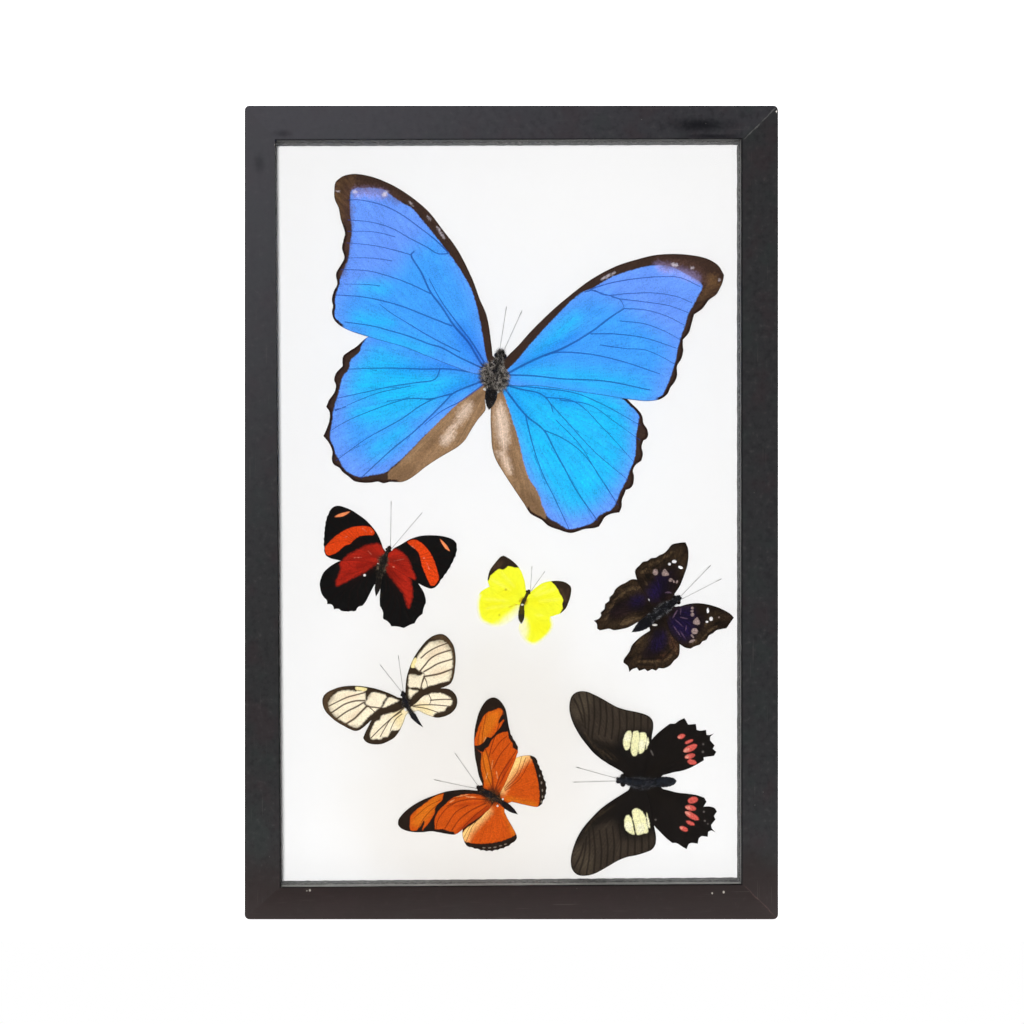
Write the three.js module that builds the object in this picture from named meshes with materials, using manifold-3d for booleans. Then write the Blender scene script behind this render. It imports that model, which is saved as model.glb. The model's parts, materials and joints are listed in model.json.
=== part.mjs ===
// Seven set butterflies in a glazed, black-stained wooden frame.
//
// Millimetres, +Z up. The glass looks along -Y and the frame stands upright on its bottom rail.
// The origin is the middle of the footprint: the centre of the width and of the depth, at the bottom.
import * as THREE from 'three';
import { mergeVertices } from 'three/addons/utils/BufferGeometryUtils.js';
import Module from 'manifold-3d';

// ---- driving dimensions -------------------------------------------------------------------------
const FRAME_WIDTH = 200;
const FRAME_HEIGHT = 305;
const FRAME_DEPTH = 22;
const RAIL_FACE = 13.3;        // width of a rail seen from the front
const RAIL_EASE = 0.8;         // the chamfer on a rail's two front edges
const LIP_THICKNESS = 5;       // wood in front of the glass
const LIP_REACH = 5;           // how far the lip covers the glass
const GAP = 0.3;               // clearance between neighbouring pieces
const GLASS_THICKNESS = 2;
const SPACER_DEPTH = 7;        // holds the board this far behind the glass
const SPACER_RECESS = { top: 0.5, bottom: 0.5, left: 1.4, right: 0.1 };  // behind the lip's edge
const BOARD_THICKNESS = 2;
const BACK_PANEL_THICKNESS = 2.6;
const HANGER = { length: 46, height: 11, thickness: 1, tooth: 2.4, teeth: 9, drop: 1.2 };
const NAIL = { headRadius: 2, headThickness: 0.7, spacing: 39 };
const POINT = { length: 9, width: 5, thickness: 0.5 };   // the steel points behind the back panel

const WING_THICKNESS = 0.35;
const BODY_FLATNESS = 0.8;     // a body's depth over its width
const BODY_SIDES = 12;
const ANTENNA = { radius: 0.16, clubRadius: 0.34, clubShare: 0.14, sides: 5, rise: 0.5 };

// The butterflies are drawn on a grid of squares, x to the right and y down, over the whole board.
const GRID_SQUARE = 0.381;
const GRID_CENTRE = { x: 511.4, y: 512.45 };   // the middle of the frame
const FACET = 7;                               // longest stretch of outline per facet, in squares

// ---- depths, measured back from the frame's front ------------------------------------------------
const DEPTH_OVERALL = FRAME_DEPTH + GAP + HANGER.thickness + GAP + NAIL.headThickness;
const FRONT = -DEPTH_OVERALL / 2;
const GLASS_FRONT = FRONT + LIP_THICKNESS + GAP;
const SPACER_FRONT = GLASS_FRONT + GLASS_THICKNESS + GAP;
const BOARD_FRONT = SPACER_FRONT + SPACER_DEPTH + GAP;
const PANEL_FRONT = BOARD_FRONT + BOARD_THICKNESS + GAP;
const POINT_FRONT = PANEL_FRONT + BACK_PANEL_THICKNESS + GAP;
const FRAME_BACK = FRONT + FRAME_DEPTH;

// ---- finishes -------------------------------------------------------------------------------------
const finish = (color, roughness, metalness = 0, extra = {}) =>
  new THREE.MeshStandardMaterial({ color, roughness, metalness, ...extra });
const BLACK_WOOD = finish(0x3a3838, 0.55);
const CLEAR_GLASS = finish(0xf4faf8, 0.05, 0, { transparent: true, opacity: 0.15 });
const GREY_SPACER = finish(0xa9a9a6, 0.7);
const OFF_WHITE_BOARD = finish(0xf5f5f3, 0.9);
const BROWN_HARDBOARD = finish(0x7a5a3c, 0.85);
const ZINC_STEEL = finish(0xb8b8b4, 0.4, 0.9);
const DARK_CHITIN = finish(0x1c1a18, 0.8);

// ---- helpers --------------------------------------------------------------------------------------
const wasm = await Module();
wasm.setup();

/** A geometry as a manifold solid, on merged positions alone. */
function toSolid(geometry) {
  const bare = geometry.clone();
  bare.deleteAttribute('normal');
  bare.deleteAttribute('uv');
  const merged = mergeVertices(bare, 1e-5);
  return new wasm.Manifold(new wasm.Mesh({
    numProp: 3,
    vertProperties: new Float32Array(merged.attributes.position.array),
    triVerts: new Uint32Array(merged.index.array),
  }));
}

/** A manifold solid as a geometry. */
function toGeometry(solid) {
  const mesh = solid.getMesh();
  const geometry = new THREE.BufferGeometry();
  geometry.setAttribute('position', new THREE.BufferAttribute(new Float32Array(mesh.vertProperties), 3));
  geometry.setIndex(new THREE.BufferAttribute(new Uint32Array(mesh.triVerts), 1));
  geometry.computeVertexNormals();
  return geometry;
}

/** The largest connected body of a solid that a cut may have left crumbs on. */
function largestBody(solid) {
  return solid.decompose().reduce((best, body) => (body.volume() > best.volume() ? body : best));
}

/** A closed geometry from points and triangles, turned outwards if it came out inside out. */
function closedGeometry(points, triangles) {
  let volume = 0;
  for (const [a, b, c] of triangles) {
    volume += points[a].dot(new THREE.Vector3().crossVectors(points[b], points[c]));
  }
  const index = triangles.flatMap(([a, b, c]) => (volume < 0 ? [a, c, b] : [a, b, c]));
  const geometry = new THREE.BufferGeometry().setFromPoints(points);
  geometry.setIndex(index);
  geometry.computeVertexNormals();
  return geometry;
}

/** Rings of points, each a closed loop of the same count, joined and capped at both ends. */
function loftRings(rings, caps) {
  const count = rings[0].length;
  const points = rings.flat();
  const triangles = [];
  for (let r = 0; r < rings.length - 1; r += 1) {
    for (let i = 0; i < count; i += 1) {
      const a = r * count + i;
      const b = r * count + ((i + 1) % count);
      triangles.push([a, b, b + count], [a, b + count, a + count]);
    }
  }
  const last = (rings.length - 1) * count;
  for (const [a, b, c] of caps) {
    triangles.push([c, b, a], [last + a, last + b, last + c]);
  }
  return closedGeometry(points, triangles);
}

/** A box given by its lowest and highest corners. */
function boxBetween(low, high) {
  const geometry = new THREE.BoxGeometry(high[0] - low[0], high[1] - low[1], high[2] - low[2]);
  geometry.translate((low[0] + high[0]) / 2, (low[1] + high[1]) / 2, (low[2] + high[2]) / 2);
  return geometry;
}

/** A flat plate: an outline in the XZ plane, given thickness forwards from the depth backY. */
function plate(outline, backY, thickness) {
  const shape = new THREE.Shape(outline);
  const geometry = new THREE.ExtrudeGeometry(shape, { depth: thickness, bevelEnabled: false, steps: 1 });
  geometry.rotateX(Math.PI / 2);
  geometry.translate(0, backY, 0);
  return geometry;
}

const part = new THREE.Group();

function addPiece(name, geometry, material) {
  const mesh = new THREE.Mesh(geometry, material);
  mesh.name = name;
  part.add(mesh);
}

// ---- the frame ------------------------------------------------------------------------------------
/** A rail's section: [distance in from the outer edge, distance back from the front]. */
const RABBET = RAIL_FACE - LIP_REACH;
const RAIL_SECTION = [
  [0, RAIL_EASE],
  [RAIL_EASE, 0],
  [RAIL_FACE - RAIL_EASE, 0],
  [RAIL_FACE, RAIL_EASE],
  [RAIL_FACE, LIP_THICKNESS],
  [RABBET, LIP_THICKNESS],
  [RABBET, FRAME_DEPTH],
  [0, FRAME_DEPTH],
];
const RAIL_CAPS = THREE.ShapeUtils.triangulateShape(
  RAIL_SECTION.map(([inward, back]) => new THREE.Vector2(inward, back)), []);

/** One mitred rail. place(along, inward, back) gives the point in the frame. */
function rail(length, place) {
  const half = length / 2;
  const end = (side) => RAIL_SECTION.map(
    ([inward, back]) => place(side * (half - inward - GAP / 2), inward, back));
  return loftRings([end(-1), end(1)], RAIL_CAPS);
}

function addFrame() {
  const midHeight = FRAME_HEIGHT / 2;
  const point = (x, back, z) => new THREE.Vector3(x, FRONT + back, z);
  addPiece('top_rail', rail(FRAME_WIDTH, (s, u, d) => point(s, d, FRAME_HEIGHT - u)), BLACK_WOOD);
  addPiece('bottom_rail', rail(FRAME_WIDTH, (s, u, d) => point(s, d, u)), BLACK_WOOD);
  addPiece('left_rail', rail(FRAME_HEIGHT,
    (s, u, d) => point(-FRAME_WIDTH / 2 + u, d, midHeight + s)), BLACK_WOOD);
  addPiece('right_rail', rail(FRAME_HEIGHT,
    (s, u, d) => point(FRAME_WIDTH / 2 - u, d, midHeight + s)), BLACK_WOOD);
}

/** A sheet that fills the rabbet, less the clearance all round. */
function rabbetSheet(front, thickness) {
  const halfWidth = FRAME_WIDTH / 2 - RABBET - GAP;
  return boxBetween(
    [-halfWidth, front, RABBET + GAP],
    [halfWidth, front + thickness, FRAME_HEIGHT - RABBET - GAP]);
}

/** Four strips between the glass and the board; the upright ones stand between the level ones. */
function addSpacers() {
  const outerX = FRAME_WIDTH / 2 - RABBET - GAP;
  const outerLow = RABBET + GAP;
  const outerHigh = FRAME_HEIGHT - RABBET - GAP;
  const lowTop = RAIL_FACE - SPACER_RECESS.bottom;
  const highBottom = FRAME_HEIGHT - RAIL_FACE + SPACER_RECESS.top;
  const leftInner = -FRAME_WIDTH / 2 + RAIL_FACE - SPACER_RECESS.left;
  const rightInner = FRAME_WIDTH / 2 - RAIL_FACE + SPACER_RECESS.right;
  const back = SPACER_FRONT + SPACER_DEPTH;
  const strip = (name, x0, z0, x1, z1) =>
    addPiece(name, boxBetween([x0, SPACER_FRONT, z0], [x1, back, z1]), GREY_SPACER);
  strip('top_spacer', -outerX, highBottom, outerX, outerHigh);
  strip('bottom_spacer', -outerX, outerLow, outerX, lowTop);
  strip('left_spacer', -outerX, lowTop + GAP, leftInner, highBottom - GAP);
  strip('right_spacer', rightInner, lowTop + GAP, outerX, highBottom - GAP);
}

/** The toothed hanger: a long plate with a row of teeth cut in its lower edge. */
function addHanger() {
  const middle = FRAME_HEIGHT - RABBET / 2 - HANGER.drop;
  const halfLength = HANGER.length / 2;
  const top = middle + HANGER.height / 2 - HANGER.tooth;
  const low = top - HANGER.height + HANGER.tooth * 2;
  const outline = [
    new THREE.Vector2(-halfLength, low),
    new THREE.Vector2(-halfLength, top),
    new THREE.Vector2(halfLength, top),
    new THREE.Vector2(halfLength, low),
  ];
  const pitch = HANGER.length * 0.7 / HANGER.teeth;
  for (let tooth = 0; tooth < HANGER.teeth; tooth += 1) {
    const right = (HANGER.teeth / 2 - tooth) * pitch;
    outline.push(
      new THREE.Vector2(right, low),
      new THREE.Vector2(right - pitch / 2, low + HANGER.tooth));
  }
  outline.push(new THREE.Vector2(-HANGER.teeth / 2 * pitch, low));
  const plateBack = FRAME_BACK + GAP + HANGER.thickness;
  addPiece('hanger', plate(outline.reverse(), plateBack, HANGER.thickness), ZINC_STEEL);
  for (const [side, name] of [[-1, 'left'], [1, 'right']]) {
    const head = new THREE.CylinderGeometry(
      NAIL.headRadius * 0.8, NAIL.headRadius, NAIL.headThickness, 16);
    head.translate(
      side * NAIL.spacing / 2, plateBack + GAP + NAIL.headThickness / 2, (top + low) / 2);
    addPiece(`hanger_nail_${name}`, head, ZINC_STEEL);
  }
}

/** Six thin steel points that lie on the back panel, their outer ends at the rabbet's wall. */
function addPoints() {
  const wallX = FRAME_WIDTH / 2 - RABBET - GAP;
  const midHeight = FRAME_HEIGHT / 2;
  const places = [];
  for (const rise of [-90, 0, 90]) {
    places.push([-wallX, midHeight + rise, 1], [wallX, midHeight + rise, -1]);
  }
  places.forEach(([x, z, inward], number) => {
    const far = x + inward * POINT.length;
    const half = POINT.width / 2;
    const outline = [
      new THREE.Vector2(x, z - half),
      new THREE.Vector2(far - inward * half, z - half),
      new THREE.Vector2(far, z),
      new THREE.Vector2(far - inward * half, z + half),
      new THREE.Vector2(x, z + half),
    ];
    addPiece(`back_point_${number + 1}`,
      plate(outline, POINT_FRONT + POINT.thickness, POINT.thickness), ZINC_STEEL);
  });
}

// ---- the butterflies ------------------------------------------------------------------------------
// spine: [x, y, half width] down the body, from the head's front to the tip of the abdomen.
// antennae: [root, tip]. Each wing is the smooth closed line through its points, from its root
// along the fore edge to the tip, down the outer edge and back along the hind edge.
const BUTTERFLIES = [
  {
    name: 'blue_morpho',
    color: 0x2f9dff,
    spine: [
      [501.5, 350, 0], [501, 352, 4.5], [500.3, 357, 5.2], [499, 361, 3.8], [497, 367, 7.5],
      [494.5, 375, 9], [493, 383, 7.5], [492.2, 387.5, 4.6], [491.5, 394, 6.6], [490.6, 401, 6.2],
      [489.5, 407, 3.4], [489, 410, 0],
    ],
    antennae: [[[499.5, 352], [506.5, 307]], [[503, 353], [522, 311]]],
    leftFore: [
      [492, 374], [492.5, 358], [491.4, 345], [486.5, 315], [480, 300], [472.7, 280], [457.7, 250],
      [442.9, 230], [427, 210], [401, 190], [381, 180], [366, 175.4], [353, 174], [344, 175.8],
      [335.5, 182.5], [334.2, 192], [335, 200], [338.6, 208], [341, 220], [345, 233.5], [343.6, 240],
      [342, 248], [344.4, 257.5], [339.6, 267], [336, 274], [337.2, 284], [333.6, 292], [331.8, 300],
      [333, 306], [332, 312], [334, 319.5], [339, 324.8], [349, 330.4], [367, 336.4], [386, 342],
      [404, 347], [420, 353.4], [449, 364.8], [478, 374.6],
    ],
    leftHind: [
      [491, 380], [470, 366], [440, 352], [405, 341], [380, 336.4], [367.6, 337], [357, 346],
      [350, 350.6], [343.4, 355.6], [342.4, 359], [342.6, 366], [336, 373], [334, 380], [335.8, 385],
      [334.4, 392], [329, 399.8], [326.1, 406.8], [329.2, 411.4], [329.5, 419], [326.4, 429],
      [323.2, 436], [328.6, 442.6], [332.3, 451.5], [331.7, 460], [334, 464.8], [339, 467.6],
      [342.6, 472], [348.6, 476.6], [354, 481], [362, 482.6], [371, 482.6], [378, 481.6], [383.4, 483.2],
      [390, 481.8], [402, 482], [412.5, 477], [424, 468], [436.6, 459.4], [449.4, 451.8], [458, 446.6],
      [464.6, 440.4], [471, 430], [478.4, 418.8], [485.4, 409.6], [484.6, 397],
    ],
    rightFore: [
      [497, 376], [504, 361.5], [506.6, 357.4], [519.4, 344.4], [530, 332.2], [544, 318.2],
      [555.4, 307.6], [570, 295.4], [588, 281.6], [604.4, 271.8], [620.8, 264.4], [637, 259.5],
      [653.4, 255.4], [672.8, 254], [689.4, 255], [707.2, 258.8], [718.6, 266], [724, 275],
      [722.8, 281.6], [719.6, 289], [716, 294.8], [709, 299.8], [702.4, 308.6], [694, 314.6],
      [691.6, 323.4], [688.6, 333], [682.8, 339.8], [683.2, 351], [681, 359.2], [677, 366],
      [677, 375.6], [674.6, 382], [670.6, 387.2], [667, 394.4], [660, 399.2], [647, 401],
      [625.6, 398.8], [604.4, 395.6], [581.4, 392.2], [555.4, 388.2], [534, 385.8], [510, 385],
    ],
    rightHind: [
      [496, 384], [520, 379], [555, 383], [595, 388.6], [626, 398.2], [633, 404.8], [639.2, 411],
      [642.4, 416.4], [643.4, 423], [647.2, 429.2], [648.2, 434.8], [646.4, 438.8], [643.4, 440.4],
      [641.6, 446.6], [643, 454], [641.4, 460.8], [636, 464.6], [633, 470.6], [634, 476], [633, 484.8],
      [630, 488.4], [626, 489.8], [624.4, 494], [622, 499.6], [621.6, 507], [619.4, 512.4],
      [611, 513.8], [604.6, 517.4], [601.6, 522.4], [599, 526.6], [594.6, 528], [584, 529.2],
      [571.4, 533], [559, 529.8], [548, 525.6], [541.6, 519.8], [530.6, 513.8], [524.4, 504.4],
      [517, 493.4], [509.6, 482.2], [501, 468.8], [495.4, 458.8], [492.2, 447.8], [491.2, 435],
      [490.8, 410],
    ],
  },
  {
    name: 'red_cramer',
    color: 0xd8381c,
    spine: [
      [390.6, 545.6, 0], [389.8, 547, 2.8], [388.4, 550, 3], [387, 552.6, 2.2], [384.6, 558, 4.6],
      [382.6, 564.6, 4.8], [380.8, 571, 3.6], [379.6, 575.4, 2.8], [378.6, 582, 3.4],
      [377.4, 589, 2.8], [375.8, 596.8, 0],
    ],
    antennae: [[[390.6, 548], [391.3, 500.5]], [[391.6, 548.6], [422.5, 512.4]]],
    leftFore: [
      [385.5, 563], [384.6, 554], [383, 548], [379, 537.4], [375, 530.4], [370.4, 524.8],
      [365, 519.4], [359, 515], [352, 510.4], [345, 507.4], [338.4, 505.7], [333.4, 507],
      [330, 510.6], [327, 516], [325.3, 522], [324.4, 528], [323.8, 535], [323.4, 543], [324.2, 551],
      [326.2, 555.6], [331, 558.4], [337, 559.8], [341.6, 560.8], [352, 560.6], [368, 561.4],
    ],
    leftHind: [
      [383, 568], [372, 560], [356, 557.6], [341.4, 560.2], [333, 564.4], [328, 568], [323.4, 572.6],
      [321, 578], [319.6, 583.4], [320.2, 589], [321.6, 594], [324.8, 599], [326, 604], [330.4, 605.6],
      [334, 609.8], [340, 610.8], [344, 613], [349.4, 612], [353.6, 613], [359, 608.2], [362, 606],
      [365.6, 601.6], [369, 595], [372, 589], [376, 581],
    ],
    rightFore: [
      [385.6, 562], [388.6, 553], [394, 548.2], [400, 545], [410, 539.2], [419, 536.2], [430, 535.2],
      [440, 535.8], [449, 537.8], [454, 540.4], [457, 544.6], [457.2, 550], [456.2, 555], [454, 560],
      [450, 568], [445, 575.2], [440, 582], [435.6, 587], [431, 588.6], [426, 587.2], [417.6, 583],
      [409, 578], [400, 572.2], [392, 567],
    ],
    rightHind: [
      [383, 570], [392, 563], [404, 569], [417.4, 582], [420, 586.4], [423, 591], [425.2, 597],
      [425.8, 603], [425, 609], [422, 615], [417.6, 620.4], [414, 624], [408, 627.4], [400, 628.4],
      [392, 626.8], [387.6, 623.6], [383, 620], [381.4, 613], [380, 607], [379.6, 600], [380.2, 590],
    ],
  },
  {
    name: 'lemon_yellow',
    color: 0xf4f522,
    spine: [
      [530, 589.8, 0], [529, 591, 2.4], [527.6, 593, 2.2], [526, 596.6, 1.9], [523.8, 601, 2.6],
      [522.4, 604.6, 2.6], [521.8, 607, 2.9], [521.4, 613, 3.3], [521.2, 619, 2.9], [521.2, 624, 0],
    ],
    antennae: [[[530.2, 591], [532, 566]], [[530.6, 591.4], [544.8, 571.2]]],
    leftFore: [
      [524, 604], [525.6, 597], [525.8, 589.6], [525, 583], [523.4, 577], [521.2, 571.2],
      [518.8, 567.4], [514.6, 562.8], [510.2, 559.2], [506.6, 557], [503.6, 555.6], [500.6, 556.8],
      [497, 560.6], [494.2, 564], [491.2, 568], [489.2, 572], [488, 577], [487.6, 580.6],
      [488.6, 584], [490.4, 588], [498, 594], [508, 599], [516, 604],
    ],
    leftHind: [
      [522.6, 607], [514, 598], [502, 590], [494, 586.6], [489.2, 587], [485.2, 588.8], [481, 591.8],
      [478, 596.4], [476.8, 601.4], [476.6, 607.2], [477.2, 612.4], [479, 618.2], [482, 622],
      [487, 624.6], [492, 626.6], [497, 627], [503, 625.6], [508.2, 623.2], [513.2, 619.6],
      [517, 615.2],
    ],
    rightFore: [
      [523.6, 603], [527.8, 595.4], [531, 591.6], [536, 587.4], [542, 583.4], [547.8, 581.6],
      [552.2, 581], [558, 580.8], [564, 581.8], [568.2, 584], [570.8, 586.8], [571.2, 591],
      [570.2, 597], [568.2, 603], [566, 608], [563, 611.2], [560, 613.6], [556.4, 614.8],
      [550, 616.6], [542, 614.6], [533, 610],
    ],
    rightHind: [
      [521.6, 608], [532, 604], [543, 609], [549.8, 616], [552.2, 619.8], [553.6, 624.2],
      [552.6, 629.2], [550, 633.6], [545.6, 638], [540.4, 642.4], [535.2, 645], [531, 644.8],
      [526.4, 642.4], [522, 638], [519.2, 632], [518.8, 627], [521, 618],
    ],
  },
  {
    name: 'purple_emperor',
    color: 0x2f1f2c,
    spine: [
      [680.6, 596.4, 0], [679, 597.6, 3.6], [676, 600, 5], [673, 602.4, 4.2], [669, 605, 6.2],
      [663.6, 608.6, 6.8], [658.4, 612.2, 6], [654.6, 615, 5], [649.4, 619.6, 6], [642.6, 624.8, 6.2],
      [636.6, 629, 3.8], [631.4, 632.2, 0],
    ],
    antennae: [[[678.6, 598], [710.6, 564.9]], [[678.6, 600.4], [721.4, 578.4]]],
    leftFore: [
      [667, 609], [670, 601], [674, 594.6], [679.4, 586.6], [684, 575.4], [687, 566.4],
      [688.4, 555.2], [687.8, 548], [685.4, 542.3], [679.2, 542.8], [672, 544.6], [668, 549.2],
      [664, 553.2], [659, 555.4], [655.8, 557.6], [650.8, 558.2], [647.6, 560.8], [642.6, 562],
      [639.6, 565.4], [636.4, 568.4], [634.8, 571.4], [635.8, 576], [638.2, 582.4], [642, 589],
      [646.6, 596.6], [651.6, 605],
    ],
    leftHind: [
      [657, 611], [651, 596], [645, 583], [638.6, 580], [631.6, 579.4], [625.4, 583], [620.4, 585.2],
      [615.2, 589.6], [613.2, 594], [609.6, 597], [609.2, 601], [605, 604], [604.6, 609],
      [600.6, 612.6], [601.2, 615.6], [599, 618.6], [594, 620.6], [596.8, 624], [597.2, 628.6],
      [599.8, 630.4], [603.6, 629.8], [609.4, 628.8], [613.4, 630.2], [620.4, 629.4], [627.4, 627.8],
      [632.6, 625.2], [637.6, 622.2], [643, 619],
    ],
    rightFore: [
      [666, 610], [675.6, 608.6], [681.2, 606], [689.4, 603.8], [698.4, 603.2], [707.6, 604.4],
      [716.8, 607], [723.8, 610], [730, 613.6], [733.8, 617.6], [730, 623], [726.4, 628.2],
      [720.8, 629.2], [716.2, 630.4], [712.6, 633.4], [709, 635.4], [706, 640], [702.4, 641.4],
      [700, 644.4], [695.4, 646], [690.4, 648.6], [685.2, 647.6], [679.6, 644], [675, 639.4],
      [670.6, 634], [667.4, 624],
    ],
    rightHind: [
      [656, 613], [666, 619], [674, 630], [679.4, 642], [679.8, 649.6], [679.2, 654.6],
      [677.6, 657.8], [674, 660.8], [670.6, 665.2], [664, 668.4], [659, 668.2], [656, 670.8],
      [652.2, 669.2], [647.8, 671.4], [644.6, 669], [639.2, 671], [637, 667.8], [632.6, 669.2],
      [629.4, 672], [628, 666.6], [623.4, 662.6], [624, 659.4], [629.6, 651.4], [631.6, 646],
      [636.6, 640.4], [642.6, 635.4], [650, 630.8],
    ],
  },
  {
    name: 'glasswing',
    color: 0xf3e6c0,
    spine: [
      [402.4, 690.6, 0], [402.8, 692.4, 2.6], [403.6, 695.4, 3], [404.2, 698, 2.6], [405, 702, 4],
      [407, 706.4, 3.4], [409.2, 709.4, 2.6], [412, 714, 3.8], [415.6, 719, 3], [419.2, 723.4, 1.6],
      [423.4, 727.6, 0],
    ],
    antennae: [[[402.6, 693], [380, 664.4]], [[403.6, 693], [398.3, 655]]],
    leftFore: [
      [405, 703], [400, 698.8], [395, 696], [387, 692.4], [379, 689.6], [369, 687.2], [360, 686],
      [349, 685.8], [340, 687], [333, 689.4], [327, 692.4], [323.4, 696.4], [322.4, 701],
      [323.4, 707], [326.4, 712.4], [331, 717.2], [337, 722], [344, 726], [350, 729.2], [355, 730.9],
      [359, 730.2], [363, 727.6], [368, 723.2], [372, 719.8], [379, 714.6], [386, 711.4],
      [396, 709.4],
    ],
    leftHind: [
      [407, 706], [396, 705], [384, 708], [374, 716], [370.6, 721.6], [368, 727], [365, 733],
      [363, 738], [365, 741.2], [369, 743.6], [375, 744.6], [382, 744], [389, 741], [394, 738],
      [398, 733.2], [401, 728], [403.6, 722], [405.6, 716], [406.6, 711],
    ],
    rightFore: [
      [405.6, 704], [405.6, 696], [405.5, 688], [406.2, 680], [407.4, 674], [409.4, 668],
      [412.4, 660.4], [416, 654], [421, 647], [426, 641], [432, 636.4], [437, 634.4], [442, 634],
      [446, 635.8], [450, 640], [453.6, 646], [455.2, 653], [455.6, 660], [455, 668], [454, 675],
      [452.6, 680], [450, 684], [445, 686.6], [439, 688.8], [430, 692], [421, 698], [412, 706],
    ],
    rightHind: [
      [406.6, 707.6], [416, 697], [428, 690], [440, 688.4], [448, 689], [452, 691], [455.6, 695],
      [457.2, 700], [456.6, 706], [453.6, 711], [449, 714.6], [442, 717.2], [436, 717.8],
      [431, 716.4], [425, 714.2], [418, 710.8],
    ],
  },
  {
    name: 'orange_julia',
    color: 0xd8660f,
    spine: [
      [476.4, 785.8, 0], [478, 787, 3.2], [481, 789, 3.6], [483.4, 790.4, 3], [487.6, 793.2, 4.4],
      [493, 796.6, 4.8], [497.6, 799.6, 3.8], [500.6, 801.6, 3], [506, 805.6, 3.6],
      [512, 810.2, 2.8], [518, 814.4, 0],
    ],
    antennae: [[[479, 787], [454.7, 752.4]], [[478, 788.6], [433.7, 779.3]]],
    leftFore: [
      [494, 799], [487, 795], [479.6, 791.4], [470.6, 790], [460.6, 789.8], [451.6, 790.7],
      [443.8, 792.2], [434.8, 795.2], [425.8, 798.6], [416.8, 803], [409, 808.2], [402.4, 814.2],
      [398.4, 820], [398, 824.6], [400.6, 828], [406.8, 830.8], [413.6, 832], [422.6, 832.1],
      [431.4, 831.2], [439.4, 832.4], [447.2, 833.8], [455, 834.4], [459.6, 831.8], [468.4, 824.4],
      [475.2, 820], [483, 814.4], [489.6, 808.8],
    ],
    leftHind: [
      [497, 801], [486, 804], [474, 815], [462.8, 829], [462.4, 835.6], [463.8, 840.8],
      [466.2, 845.2], [470.8, 848], [477.4, 849.8], [483, 851.2], [491.4, 851.6], [502, 849.2],
      [508.8, 846.4], [513.2, 843], [516.8, 838.4], [516.2, 834.6], [512.2, 826.8], [507.6, 818.8],
      [504.2, 811.6], [501, 805],
    ],
    rightFore: [
      [495, 798], [488.6, 789.6], [484, 786], [480.6, 780.4], [478.4, 774], [476.8, 766], [475, 757],
      [474.2, 748], [474.1, 737], [474.8, 729], [476.4, 721.2], [479, 712.4], [483, 704.6],
      [487.6, 699.4], [493, 697.5], [497.6, 698.8], [502, 703], [505.4, 709], [507.2, 717],
      [508.4, 724.6], [510.6, 732.6], [514, 739.4], [517.8, 746], [518.3, 750.6], [516.8, 755],
      [515, 760.6], [512.2, 767.4], [508.8, 775.2], [505.4, 783], [501.6, 790],
    ],
    rightHind: [
      [499, 801], [501, 786], [507, 770], [514.6, 758.8], [520, 756.6], [525.6, 755.6],
      [531.2, 755.8], [535.2, 757.8], [537.8, 761.8], [540.2, 767.4], [542.6, 772], [544, 777.4],
      [546, 782], [546.9, 788.6], [546, 795.4], [544, 801], [541.2, 804.8], [537.2, 807.1],
      [531, 806.4], [524.4, 805], [516.6, 803.2], [508, 801.4],
    ],
  },
  {
    name: 'rose_swallowtail',
    color: 0x2a231f,
    spine: [
      [617.4, 780.6, 0], [619, 780.4, 2.6], [623, 780, 5], [626.4, 780.6, 4.2], [630, 781.6, 5.4],
      [637, 782.6, 6.4], [645, 783, 6.2], [652, 782.6, 5], [655.6, 782.2, 4.6], [662, 781.8, 5.6],
      [670, 781.4, 4.8], [674.6, 781, 2.8], [676.6, 780.8, 0],
    ],
    antennae: [[[621, 779], [575.7, 766.6]], [[620.6, 780.4], [573, 781.6]]],
    leftFore: [
      [640, 784], [631, 788.6], [621.8, 794.4], [611.4, 801], [601, 808.6], [592, 817.6],
      [584, 826.8], [577.6, 837], [573, 848.8], [570.8, 859.2], [571.4, 867.2], [574.4, 872.4],
      [579, 875.3], [586.8, 875.6], [594.6, 873.6], [602.4, 869.6], [610, 865.2], [618, 860.6],
      [627, 857], [636, 855.2], [644, 852.8], [651.6, 849.6], [655, 845], [656, 838.4], [655, 830.6],
      [653.8, 825], [652.2, 815], [650.2, 806], [648, 795],
    ],
    leftHind: [
      [649, 784], [646, 800], [648, 814], [654, 825.6], [659.4, 831.4], [666, 838], [672.4, 843.2],
      [676.4, 843.2], [681.6, 846.4], [686.8, 849.4], [688.6, 844.6], [690.8, 843.2], [697.8, 843.8],
      [699, 838.6], [701.8, 836.2], [707.8, 837], [708.2, 832], [711.4, 830.6], [715.6, 832.4],
      [712, 828.6], [711.2, 825.2], [715.6, 819.6], [714, 816.2], [717, 811.8], [714.8, 808.4],
      [710.2, 806.8], [703.6, 806.8], [706.6, 802], [704.4, 798], [697.2, 795.4], [686.8, 793.8],
      [676.4, 792.6], [667.4, 790.2], [658, 788],
    ],
    rightFore: [
      [640, 782], [632.4, 778.2], [624.4, 773.4], [619.2, 770.2], [610, 765], [601, 759.2],
      [593.2, 752.6], [586.6, 744.8], [580.2, 736.4], [575, 727.4], [571, 717.6], [569.3, 708.4],
      [570.4, 699.4], [573.6, 694], [579, 691.4], [586.8, 691.7], [594.6, 694.8], [602.4, 698.8],
      [610, 703.2], [618, 707.4], [627, 710], [636, 711.8], [645.2, 714.4], [649.8, 717],
      [652.8, 721.4], [653.2, 728], [652, 734.4], [651.4, 740.4], [649.2, 750], [647, 760.4],
      [645.6, 771],
    ],
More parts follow.
